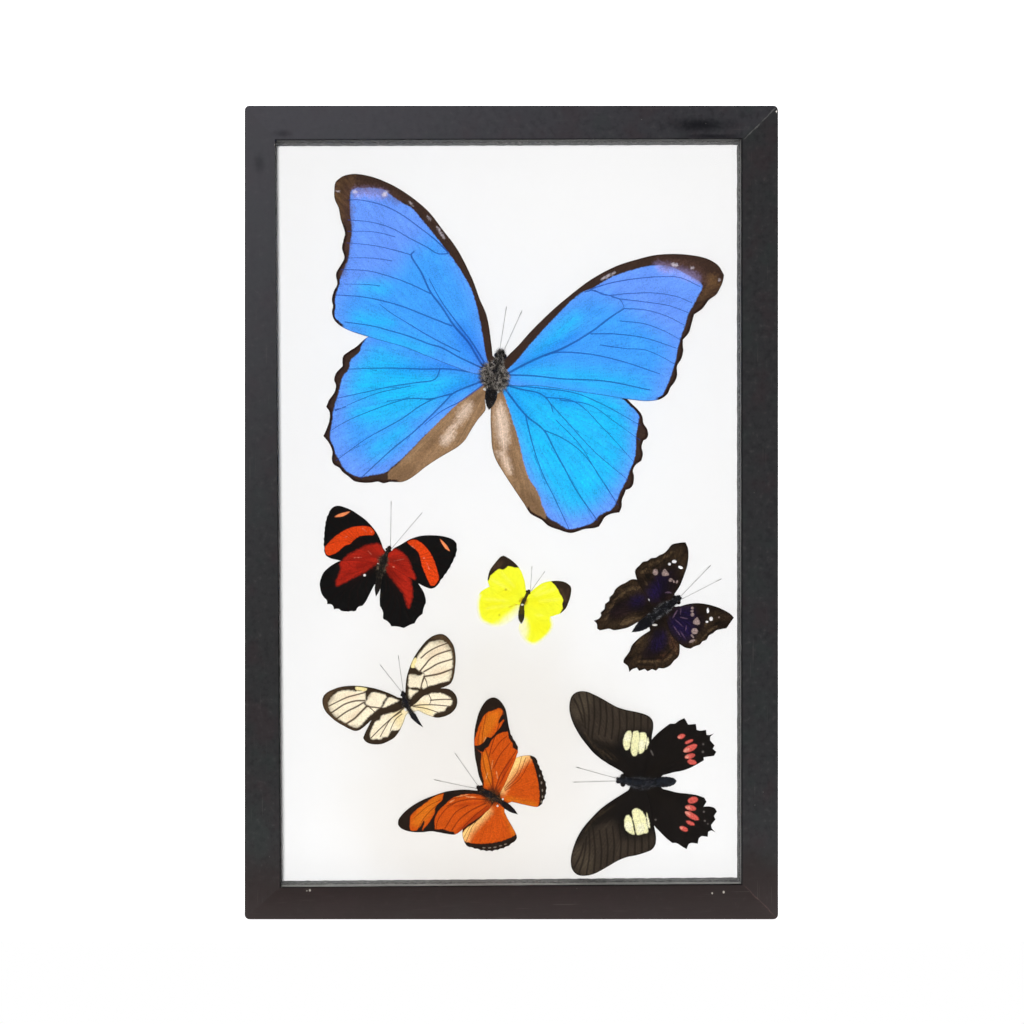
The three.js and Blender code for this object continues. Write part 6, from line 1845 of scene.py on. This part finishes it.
def rail_material(name, settings, tint, wall, offset):
    """Black-stained wood: faint grain, warm and cool zones, a painted sheen towards the upper left, a knot,
    worn mitres, an inner wall in painted light and shade with a painted shade line at its edge, dust.
    """
    material, n = new_material(name)
    where = n.objects()
    along = n.vector("ADD", n.add("ShaderNodeUVMap", uv_map="grain").outputs[0], (offset, offset, 0.0))
    grain = n.group(grain_group, Vector=along, Fineness=20.0, Stretch=0.04)
    stain = n.mix(grain, opaque(settings.stain), opaque(settings.stain_light))
    stain = n.mix(0.6, stain, paint(tint))
    place = n.add("ShaderNodeSeparateXYZ", {"Vector": where})
    mottle = n.noise(where, 420.0, 4.0, 0.65)
    stain = n.mix(n.ramp(mottle, 0.35, 0.5, 0.45, 0.0), stain, paint("#1e1d1f"))
    stain = n.mix(n.ramp(mottle, 0.54, 0.76, 0.0, 0.32), stain, paint("#504d4d"))
    hue = n.noise(where, 70.0, 3.0, 0.6)
    stain = n.mix(n.ramp(hue, 0.35, 0.5, 0.3, 0.0), stain, paint("#2a3230"))
    stain = n.mix(n.ramp(hue, 0.52, 0.68, 0.0, 0.35), stain, paint("#33282b"))
    foot = n.plus(place.outputs["Z"], n.times(n.noise(where, 60.0, 3.0), 0.02))
    stain = n.mix(n.ramp(foot, 0.02, 0.042, 0.8, 0.0), stain, paint("#241b1a"))
    # painted sheen: the rail faces are lightened towards the upper left, where the light falls
    upper_left_sheen = n.minus(place.outputs["Z"], n.times(place.outputs["X"], 1.2))
    stain = n.mix(n.ramp(upper_left_sheen, 0.2, 0.42, 0.0, 0.6), stain, paint("#4c4b50"))
    wave = n.plus(n.noise(where, 160.0, 3.0), n.times(n.noise(where, 900.0, 4.0, 0.7), 0.9))
    patches = (                   # the knot with the streak under it, and two smudges
        (0.0703, 0.2976, 0.0155, 0.0036, 0.9), (0.0755, 0.2934, 0.0135, 0.0012, 0.85),
        (-0.0858, 0.2944, 0.0045, 0.0019, 0.42), (-0.0945, 0.283, 0.0026, 0.0052, 0.36),
    )
    for x, z, half_wide, half_high, strength in patches:
        patch = n.plus(oval(n, where, (x, RAIL_FRONT, z), (half_wide, 0.02, half_high)), wave)
        stain = n.mix(n.ramp(patch, 0.9, 2.1, strength, 0.0), stain, paint("#131317"))
    mitres = (
        ("SUBTRACT", (0.0935, RAIL_FRONT, 0.2985), 0.2058, "#7b7a79", 0.42),
        ("ADD", (0.0935, RAIL_FRONT, 0.0065), 0.1008, "#57403d", 0.4),
    )
    for operation, centre, level, shade, strength in mitres:
        line = n.maths(operation, place.outputs["Z"], place.outputs["X"])
        line = n.plus(line, n.times(n.noise(where, 230.0, 2.0), 0.0016))
        line = n.maths("ABSOLUTE", n.minus(line, level))
        worn = n.plus(line, n.times(n.noise(where, 420.0, 4.0, 0.7), 0.0016))
        mask = n.ramp(worn, 0.0006, 0.0013, strength, 0.0)
        nearby = n.ramp(oval(n, where, centre, (0.01, 0.02, 0.01)), 0.7, 1.0, 1.0, 0.0)
        mask = n.times(mask, nearby)
        stain = n.mix(mask, stain, paint(shade))
    dust = n.group(specks_group, Vector=where, Scale=330.0, Size=0.06, Share=0.12)
    stain = n.mix(n.times(dust, 0.35), stain, paint("#9a9793"))
    thin = n.vector("MULTIPLY", along, (0.25, 9.0, 1.0))
    scratch = n.ramp(n.noise(thin, 2.2, 1.0), 0.70, 0.74)
    stain = n.mix(n.times(scratch, 0.08), stain, paint("#77726c"))
    specks = (
        (0.0795, 0.0103, 0.0004), (0.0752, 0.0099, 0.0003), (-0.0755, 0.011, 0.0004),
        (-0.0766, 0.0108, 0.0002), (-0.0885, 0.2902, 0.0003),
    )
    for x, z, half in specks:
        fleck = oval(n, where, (x, RAIL_FRONT, z), (half, 0.02, half * 1.3))
        fleck = n.plus(fleck, n.times(n.noise(where, 2500.0, 2.0), 0.6))
        stain = n.mix(n.ramp(fleck, 0.9, 1.5, 0.75, 0.0), stain, paint("#b3aca3"))
    ragged = n.times(n.noise(where, 2500.0, 2.0), 0.8)
    chip = n.plus(oval(n, where, (0.0993, -0.0117, 0.3026), (0.0004, 0.001, 0.0005)), ragged)
    stain = n.mix(n.ramp(chip, 1.1, 1.4, 1.0, 0.0), stain, paint("#e4dfd8"))
    around = n.add("ShaderNodeSeparateXYZ", {"Vector": along}).outputs["Y"]
    turned_in = n.minus(around, offset)
    # painted shade: a dark line along the rounded inner edge of the face, where the lip meets the glass
    edge = n.times(n.ramp(turned_in, 1.3, 1.34), n.ramp(turned_in, 1.37, 1.4, 1.0, 0.0))
    stain = n.mix(n.times(edge, 0.75), stain, paint("#0f0f10"))
    # painted light and shade on the lip's inner wall: each rail's wall takes its own grey, lighter where the
    # light falls on it, broken by streaks and pale flecks
    wall_streaks = n.noise(n.vector("MULTIPLY", along, (1.4, 13.0, 1.0)), 1.0, 4.0, 0.65)
    bare = n.mix(n.ramp(wall_streaks, 0.38, 0.62), n.mix(0.45, paint(wall), paint("#2c2c2c")), paint(wall))
    flecks = n.group(specks_group, Vector=where, Scale=850.0, Size=0.3, Share=0.3)
    bare = n.mix(n.times(flecks, 0.7), bare, n.mix(0.5, paint(wall), paint("#e6e4dc")))
    lip = n.times(n.ramp(turned_in, 1.385, 1.41), n.ramp(turned_in, 1.84, 1.86, 1.0, 0.0))
    stain = n.mix(lip, stain, bare)
    rough = n.ramp(grain, 0.0, 1.0, 0.5, 0.62)
    close_material(n, stain, rough, mottle, bump=0.1, reach=0.0002, Specular_IOR_Level=0.3)
    return material


# ---- plain finishes ---------------------------------------------------------------------------------
def glass_material(settings):
    """Clear low-reflection picture glass that lets the lamps reach what is behind it."""
    material, n = new_material("picture_glass")
    shader = n.add("ShaderNodeBsdfPrincipled", {
        "Base Color": (1.0, 1.0, 1.0, 1.0), "Roughness": 0.0, "IOR": 1.45,
        "Transmission Weight": 1.0, "Specular IOR Level": settings.reflection,
    })
    path = n.add("ShaderNodeLightPath")
    clear = n.add("ShaderNodeBsdfTransparent")
    mix = n.add("ShaderNodeMixShader")
    n.feed(mix.inputs[0], path.outputs["Is Shadow Ray"])
    n.feed(mix.inputs[1], shader.outputs[0])
    n.feed(mix.inputs[2], clear.outputs[0])
    n.add("ShaderNodeOutputMaterial", {"Surface": mix.outputs[0]})
    return material


def spacer_piece(side, material):
    """One foam strip with soft edges, its inner face a little uneven and leaning with the rail before it."""
    node = f"{side}_spacer"
    low, high = corners_of(node)
    upright = side in ("left", "right")
    axis, over = (2, 0) if upright else (0, 2)
    inner, outer = (high, low) if side in ("left", "bottom") else (low, high)
    width = abs(high - low)[over]
    soft = 0.35
    section = []
    for u, y, turn in ((soft, low[1] + soft, 180), (width - soft, low[1] + soft, 270),
                       (width - soft, high[1] - soft, 0), (soft, high[1] - soft, 90)):
        for angle in np.radians(turn + np.linspace(0, 90, 5)):
            section.append((u + soft * math.cos(angle), y + soft * math.sin(angle)))
    count = len(section)
    stations = np.linspace(0, 1, 121)
    vertices = []
    for share in stations:
        lean = np.interp(share, (0, 1), SPACER_LEAN[side])
        for u, y in section:
            place = [0.0, y, 0.0]
            place[axis] = low[axis] + (high - low)[axis] * share
            along = place[axis]
            uneven = 0.05 * math.sin(along * 0.9 + y) + 0.04 * math.sin(along * 2.3 + 2 * y)
            inside_share = 1 - u / width
            place[over] = inner[over] + math.copysign(u, outer[over] - inner[over])
            place[over] += (lean + uneven * (0 < share < 1)) * inside_share
            vertices.append(place)
    piece = mesh_object(f"{node}_foam", vertices, wrap(len(stations), count), materials=[material])
    face_outward(piece.data)
    piece.data.set_sharp_from_angle(angle=math.radians(50))
    dress(piece, node)


def spacer_material():
    """Grey foam strip, darker deeper in towards the board as painted shade, with a painted glint at the
    lower left corner.
    """
    material, n = new_material("grey_foam")
    where = n.objects()
    depth = n.add("ShaderNodeSeparateXYZ", {"Vector": where}).outputs["Y"]
    tone = n.noise(where, 800.0, 5.0, 0.7)
    colour = n.mix(n.ramp(tone, 0.4, 0.62), paint("#4c4d4e"), paint("#8d8c89"))
    # painted shade: the strip darkens deeper in, towards the board
    colour = n.mix(n.ramp(depth, -0.0015, 0.0, 0.0, 0.45), colour, paint("#6c6d70"))
    colour = n.mix(n.ramp(depth, 0.0006, 0.002, 0.0, 0.75), colour, paint("#46474a"))
    # painted glint: a pale spot at the lower left corner
    corner_glint = oval(n, where, (-0.0844, 0.001, 0.0108), (0.001, 0.004, 0.0005))
    ragged_glint = n.plus(corner_glint, n.noise(where, 1500.0, 2.0))
    colour = n.mix(n.ramp(ragged_glint, 1.1, 1.7, 0.85, 0.0), colour, paint("#d9cfc0"))
    close_material(n, colour, 0.75, tone, bump=0.3, reach=0.0002)
    return material


def board_material(settings):
    """Off-white card with a soft warm-grey cast low down and a few specks."""
    material, n = new_material("mount_card")
    where = n.objects()
    fibres = n.noise(where, 1500.0, 5.0, 0.6)
    colour = n.mix(n.ramp(fibres, 0.25, 0.75), opaque(settings.card), opaque(settings.card_warm))
    middle = n.vector("SUBTRACT", where, (-0.01, 0.0, 0.0544))
    flat = n.vector("MULTIPLY", middle, (1.2, 0.0, 1.0))
    near = n.add("ShaderNodeVectorMath", operation="LENGTH")
    n.feed(near.inputs[0], flat)
    uneven = n.times(n.noise(where, 22.0, 3.0), 0.05)
    cast = n.ramp(n.plus(near.outputs["Value"], uneven), 0.055, 0.112, 0.85, 0.0)
    colour = n.mix(cast, colour, opaque(settings.card_cast))
    specks = n.group(specks_group, Vector=where, Scale=45.0, Size=0.016, Share=0.06)
    colour = n.mix(n.times(specks, 0.5), colour, paint("#8a8580"))
    close_material(n, colour, 0.85, fibres, bump=0.08, reach=0.0001, Specular_IOR_Level=0.2)
    return material


def hardboard_material():
    """Brown hardboard: pressed fibres with darker flecks."""
    material, n = new_material("hardboard")
    where = n.objects()
    fibres = n.noise(n.vector("MULTIPLY", where, (1.0, 1.0, 0.35)), 900.0, 6.0, 0.7)
    colour = n.mix(n.ramp(fibres, 0.3, 0.7), paint("#6b4a2e"), paint("#8f6a45"))
    flecks = n.group(specks_group, Vector=where, Scale=500.0, Size=0.22, Share=0.2)
    colour = n.mix(n.times(flecks, 0.5), colour, paint("#40291a"))
    stains = n.noise(where, 14.0, 3.0)
    colour = n.mix(n.ramp(stains, 0.45, 0.75, 0.0, 0.35), colour, paint("#5a3d26"))
    close_material(n, colour, n.ramp(fibres, 0.3, 0.7, 0.55, 0.75), fibres, bump=0.35, reach=0.0002)
    return material


def steel_material():
    """Zinc-coated steel with brushed lines and dull patches."""
    material, n = new_material("zinc_steel")
    where = n.objects()
    brushed = n.noise(n.vector("MULTIPLY", where, (1.0, 1.0, 14.0)), 500.0, 3.0)
    patches = n.noise(where, 260.0, 4.0)
    colour = n.mix(n.ramp(patches, 0.35, 0.7), paint("#a9abad"), paint("#8b8a86"))
    rough = n.ramp(brushed, 0.3, 0.7, 0.28, 0.5)
    close_material(n, colour, rough, brushed, bump=0.1, reach=0.0001, Metallic=0.9)
    return material


def refined_copy(node, material, bevel):
    """A CAD node's shape with its edges rounded, as a piece of its own."""
    mesh = frame["nodes"][node].data.copy()
    mesh.name = node
    mesh.materials.clear()
    mesh.materials.append(material)
    shape = bmesh.new()
    shape.from_mesh(mesh)
    bmesh.ops.remove_doubles(shape, verts=shape.verts, dist=1e-6)
    bmesh.ops.dissolve_limit(shape, angle_limit=math.radians(1), verts=shape.verts, edges=shape.edges)
    sharp = [e for e in shape.edges if len(e.link_faces) == 2 and e.calc_face_angle(0) > math.radians(35)]
    bmesh.ops.bevel(
        shape, geom=sharp, offset=bevel * MM, segments=3, profile=0.5, affect="EDGES", clamp_overlap=True)
    bmesh.ops.triangulate(shape, faces=shape.faces)
    shape.to_mesh(mesh)
    shape.free()
    mesh.polygons.foreach_set("use_smooth", [True] * len(mesh.polygons))
    mesh.set_sharp_from_angle(angle=math.radians(40))
    piece = bpy.data.objects.new(f"{node}_finished", mesh)
    bpy.context.scene.collection.objects.link(piece)
    dress(piece, node)
    return piece


def nail_piece(node, material):
    """A round-headed nail turned about its own axis."""
    low, high = corners_of(node)
    radius = (high - low)[0] / 2
    centre = (low + high) / 2
    deep = high[1] - low[1]
    profile = [(radius * math.cos(a), low[1] + deep * (0.35 + 0.65 * math.sin(a)))
               for a in np.linspace(0, math.pi / 2, 9)[:-1]]
    profile = [(radius * 0.9, low[1]), (radius, low[1] + deep * 0.15)] + profile
    sides = 32
    vertices = [(centre[0] + r * math.cos(t), y, centre[2] + r * math.sin(t))
                for r, y in profile for t in np.arange(sides) * math.tau / sides]
    faces = wrap(len(profile), sides)[:-1]
    vertices.append((centre[0], high[1], centre[2]))
    top = len(vertices) - 1
    last = (len(profile) - 1) * sides
    faces += [(last + j, last + (j + 1) % sides, top) for j in range(sides)]
    piece = mesh_object(f"{node}_finished", vertices, faces, materials=[material])
    face_outward(piece.data)
    piece.data.set_sharp_from_angle(angle=math.radians(45))
    dress(piece, node)


# ---- what a user would change -----------------------------------------------------------------------
def number_field(name, description, default, low=0.0, **limits):
    return bpy.props.FloatProperty(name=name, description=description, default=default, min=low, **limits)


def colour_field(name, description, default):
    return bpy.props.FloatVectorProperty(
        name=name, description=description, subtype="COLOR", size=3, default=default)


class RailSettings(bpy.types.PropertyGroup):
    edge_radius: number_field("Edge Radius", "Rounding of a rail's front edges in millimetres", 0.6, 0.1)
    corner_radius: number_field("Corner Radius", "Rounding of the frame's corners in millimetres", 1.9, 0.1)
    stain: colour_field("Stain", "Colour of the black stain", paint("#2b2a2b")[:3])
    stain_light: colour_field(
        "Stain on Grain", "Colour of the stain where the grain stands out", paint("#353535")[:3])


class BackingSettings(bpy.types.PropertyGroup):
    reflection: number_field("Glass Reflection", "How strongly the glass reflects", 0.12, max=1.0)
    card: colour_field("Card", "Colour of the mount board", (0.888, 0.888, 0.888))
    card_warm: colour_field("Card Fibres", "Colour of the board's fibres", (0.875, 0.872, 0.868))
    card_cast: colour_field("Card Cast", "Colour of the warm cast low on the board", (0.79, 0.765, 0.725))


class WingSettings(bpy.types.PropertyGroup):
    thickness: number_field("Thickness", "Thickness of a wing in millimetres", 0.1, 0.02)
    vein_height: number_field("Vein Height", "How far the veins stand up in millimetres", 0.06)
    fold_depth: number_field("Fold Depth", "Depth of the folds between veins in millimetres", 0.12)
    warp: number_field("Warp", "How far a dry wing waves in millimetres", 0.1)


class BodySettings(bpy.types.PropertyGroup):
    antenna_radius: number_field("Feeler Radius", "Radius of a feeler in millimetres", 0.055, 0.02)
    club_radius: number_field("Club Radius", "Extra radius of a feeler's club in millimetres", 0.035)
    core_share: number_field("Body under the Hair", "Width of the body under its hair, over its full width",
                       0.76, 0.3, max=1.0)
    hair_length: number_field("Hair Length", "Length of the body's hairs over its width", 0.2)
    hair_amount: number_field("Hair Amount", "Hairs on each square millimetre of skin", 16.0)


class StageSettings(bpy.types.PropertyGroup):
    floor_colour: colour_field("Floor", "Colour of the floor and backdrop", (0.85, 0.85, 0.85))
    lamp_power: number_field("Front Lamp", "Power of the soft lamp behind the camera", 50.0)
    side_power: number_field("Side Lamps", "Power of the soft boxes at the sides", 1.6)
    room_light: number_field("Room Light", "Brightness of the room around the lamps", 0.05)


FIRST_SEED = 11                   # of the hairs; each species has the next one


# ---- operators --------------------------------------------------------------------------------------
class SPECIMEN_OT_rails(bpy.types.Operator):
    """Build the four mitred rails in black-stained wood."""
    bl_idname = "specimen.rails"
    bl_label = "Frame Rails"

    def execute(self, context):
        settings = context.scene.specimen_rails
        # each rail's face tint and wall grey: the top rail's lighter tint and the bottom rail's darker one
        # are painted light and shade, their hues the wood's own; the wall greys are painted light and shade,
        # lightest on the bottom rail and darkest on the left
        tints_and_wall_shades = {
            "top_rail": ("#343338", "#626360"), "bottom_rail": ("#160f0e", "#d6d5d0"),
            "left_rail": ("#2a2a2b", "#2f2f2f"), "right_rail": ("#29292b", "#848584"),
        }
        for i, (node, (tint, wall)) in enumerate(tints_and_wall_shades.items()):
            material = rail_material(f"{node}_stain", settings, tint, wall, i * 3.7)
            dress(rail_piece(node, material, settings), node)
        return {"FINISHED"}


class SPECIMEN_OT_glass(bpy.types.Operator):
    """Give the pane its clear glass."""
    bl_idname = "specimen.glass"
    bl_label = "Front Glass"

    def execute(self, context):
        recoat("front_glass", glass_material(context.scene.specimen_backing))
        return {"FINISHED"}


class SPECIMEN_OT_backing(bpy.types.Operator):
    """Finish the spacers, the mount board and the back panel."""
    bl_idname = "specimen.backing"
    bl_label = "Spacers, Board and Back"

    def execute(self, context):
        grey = spacer_material()
        for side in ("top", "bottom", "left", "right"):
            spacer_piece(side, grey)
        recoat("mount_board", board_material(context.scene.specimen_backing))
        recoat("back_panel", hardboard_material())
        return {"FINISHED"}


class SPECIMEN_OT_hardware(bpy.types.Operator):
    """Build the steel points, the toothed hanger and its nails."""
    bl_idname = "specimen.hardware"
    bl_label = "Points and Hanger"

    def execute(self, context):
        steel = steel_material()
        for i in range(1, 7):
            refined_copy(f"back_point_{i}", steel, 0.12)
        refined_copy("hanger", steel, 0.15)
        nail_piece("hanger_nail_left", steel)
        nail_piece("hanger_nail_right", steel)
        return {"FINISHED"}


def build_butterfly(context, species):
    """Makes a species' four wings and its body."""
    look = BUTTERFLIES[species]
    seed = FIRST_SEED + list(BUTTERFLIES).index(species)
    scales = wing_material(species, look)
    for wing in WINGS:
        piece = wing_piece(species, look, wing, context.scene.specimen_wings)
        piece.data.materials.append(scales)
        dress(piece, f"{species}_{wing}")
    settings = context.scene.specimen_bodies
    body = body_piece(species, look, settings)
    width = max(half for _, _, half in look.spine) * SQUARE * 2
    fur = body.data.materials[3]
    grow_fur(body, fur, width * settings.hair_length, settings.hair_amount * 1e6, seed)
    dress(body, f"{species}_body")


class ButterflyStep:
    """What the operators of the butterflies share: each builds the species it is named for."""

    def execute(self, context):
        build_butterfly(context, type(self).__name__.removeprefix("SPECIMEN_OT_"))
        return {"FINISHED"}


class SPECIMEN_OT_blue_morpho(ButterflyStep, bpy.types.Operator):
    """Build the large blue butterfly."""
    bl_idname = "specimen.blue_morpho"
    bl_label = "Blue Morpho"


class SPECIMEN_OT_red_cramer(ButterflyStep, bpy.types.Operator):
    """Build the black and red butterfly."""
    bl_idname = "specimen.red_cramer"
    bl_label = "Red Cramer"


class SPECIMEN_OT_lemon_yellow(ButterflyStep, bpy.types.Operator):
    """Build the small yellow butterfly."""
    bl_idname = "specimen.lemon_yellow"
    bl_label = "Lemon Yellow"


class SPECIMEN_OT_purple_emperor(ButterflyStep, bpy.types.Operator):
    """Build the dark purple butterfly."""
    bl_idname = "specimen.purple_emperor"
    bl_label = "Purple Emperor"


class SPECIMEN_OT_glasswing(ButterflyStep, bpy.types.Operator):
    """Build the cream butterfly with clear windows."""
    bl_idname = "specimen.glasswing"
    bl_label = "Glasswing"


class SPECIMEN_OT_orange_julia(ButterflyStep, bpy.types.Operator):
    """Build the long-winged orange butterfly."""
    bl_idname = "specimen.orange_julia"
    bl_label = "Orange Julia"


class SPECIMEN_OT_rose_swallowtail(ButterflyStep, bpy.types.Operator):
    """Build the dark swallowtail with cream and rose spots."""
    bl_idname = "specimen.rose_swallowtail"
    bl_label = "Rose Swallowtail"


class SPECIMEN_OT_stage(bpy.types.Operator):
    """Set the camera, the lamps, the floor and the backdrop."""
    bl_idname = "specimen.stage"
    bl_label = "Stage"

    def execute(self, context):
        build_stage(context.scene, context.scene.specimen_stage)
        return {"FINISHED"}


# ---- the stage --------------------------------------------------------------------------------------
CAMERA_REACH = 0.770          # from the camera to the front of the rails, metres
CAMERA_SPOT = (0.00022, 0.15267)
PICTURE_WIDTH = 0.3835        # what the picture spans at the front of the rails
SENSOR_WIDTH = 36.0


def add_lamp(scene, name, spot_at, aim, size, power, mirrored=True):
    """A square soft lamp that looks at a point."""
    data = bpy.data.lights.new(name, "AREA")
    data.shape = "SQUARE"
    data.size = size
    data.energy = power
    lamp = bpy.data.objects.new(name, data)
    lamp.location = spot_at
    lamp.rotation_euler = (Vector(aim) - Vector(spot_at)).to_track_quat("-Z", "Y").to_euler()
    lamp.visible_camera = False
    lamp.visible_glossy = mirrored
    lamp.visible_transmission = False
    scene.collection.objects.link(lamp)


def build_stage(scene, settings):
    """A seamless pale floor and backdrop, soft lamps and the camera."""
    camera = bpy.data.cameras.new("camera")
    camera.sensor_width = SENSOR_WIDTH
    camera.lens = SENSOR_WIDTH * CAMERA_REACH / PICTURE_WIDTH
    viewer = bpy.data.objects.new("camera", camera)
    viewer.location = (CAMERA_SPOT[0], CAD_BOX[0][1] - CAMERA_REACH, CAMERA_SPOT[1])
    viewer.rotation_euler = (math.pi / 2, 0.0, 0.0)
    scene.collection.objects.link(viewer)
    scene.camera = viewer
    scene.view_settings.view_transform = "Standard"

    curve = [(-0.05, 0.0)] + [
        (1.2 + 0.6 * math.sin(a), 0.6 - 0.6 * math.cos(a)) for a in np.linspace(0, math.pi / 2, 16)
    ] + [(1.8, 3.0)]
    rows = [(x, y, z) for y, z in curve for x in (-3.0, 3.0)]
    faces = [(2 * i, 2 * i + 1, 2 * i + 3, 2 * i + 2) for i in range(len(curve) - 1)]
    material, n = new_material("stage_paper")
    tone = n.noise(n.objects(), 2.0, 1.0)
    colour = n.mix(tone, opaque(settings.floor_colour), (0.87, 0.87, 0.87, 1.0))
    close_material(n, colour, 0.9, Emission_Color=(1.0, 1.0, 1.0, 1.0), Emission_Strength=0.95,
                   Specular_IOR_Level=0.0)
    sweep = mesh_object("backdrop", np.array(rows) / MM, faces, materials=[material])

    middle = (0.0, 0.0, 0.15)
    add_lamp(scene, "front_lamp", (0.0, -2.2, 0.19), middle, 0.22, settings.lamp_power, mirrored=False)
    add_lamp(scene, "left_box", (-1.3, -1.1, 0.8), middle, 0.9, settings.side_power)
    add_lamp(scene, "right_box", (1.4, -1.0, 0.5), middle, 0.8, settings.side_power * 0.6)
    add_lamp(scene, "top_box", (0.0, -0.5, 1.7), middle, 0.9, settings.side_power * 0.6)
    add_lamp(scene, "back_box", (0.6, 1.1, 1.3), middle, 0.9, settings.side_power * 8.0)
    world = bpy.data.worlds.new("studio")
    world.use_nodes = True
    n = Nodes(world.node_tree)
    seen = n.add("ShaderNodeLightPath").outputs["Is Camera Ray"]
    strength = n.maths("MAXIMUM", seen, settings.room_light)
    sky = n.add("ShaderNodeBackground", {"Color": (1.0, 1.0, 1.0, 1.0), "Strength": strength})
    n.add("ShaderNodeOutputWorld", {"Surface": sky.outputs[0]})
    scene.world = world


# ---- the sidebar and the run ------------------------------------------------------------------------
OPERATORS = (
    SPECIMEN_OT_rails, SPECIMEN_OT_glass, SPECIMEN_OT_backing, SPECIMEN_OT_hardware,
    SPECIMEN_OT_blue_morpho, SPECIMEN_OT_red_cramer, SPECIMEN_OT_lemon_yellow, SPECIMEN_OT_purple_emperor,
    SPECIMEN_OT_glasswing, SPECIMEN_OT_orange_julia, SPECIMEN_OT_rose_swallowtail, SPECIMEN_OT_stage,
)
SETTINGS = {
    "specimen_rails": RailSettings, "specimen_backing": BackingSettings, "specimen_wings": WingSettings,
    "specimen_bodies": BodySettings, "specimen_stage": StageSettings,
}


class SPECIMEN_PT_sidebar(bpy.types.Panel):
    """Lists the steps that dress the frame."""
    bl_idname = "SPECIMEN_PT_sidebar"
    bl_label = "Framed Butterflies"
    bl_space_type = "VIEW_3D"
    bl_region_type = "UI"
    bl_category = "Specimen"

    def draw(self, context):
        for operator in OPERATORS:
            self.layout.operator(operator.bl_idname)
        for name, kind in SETTINGS.items():
            box = self.layout.box()
            for field in kind.__annotations__:
                box.prop(getattr(context.scene, name), field)


def register():
    for kind in (*SETTINGS.values(), *OPERATORS, SPECIMEN_PT_sidebar):
        bpy.utils.register_class(kind)
    for name, kind in SETTINGS.items():
        setattr(bpy.types.Scene, name, bpy.props.PointerProperty(type=kind))


def unregister():
    for name in SETTINGS:
        delattr(bpy.types.Scene, name)
    for kind in (SPECIMEN_PT_sidebar, *OPERATORS[::-1], *list(SETTINGS.values())[::-1]):
        bpy.utils.unregister_class(kind)


def main():
    register()
    for operator in OPERATORS:
        name = operator.bl_idname.split(".")[1]
        getattr(bpy.ops.specimen, name)()


if __name__ == "__main__":
    main()
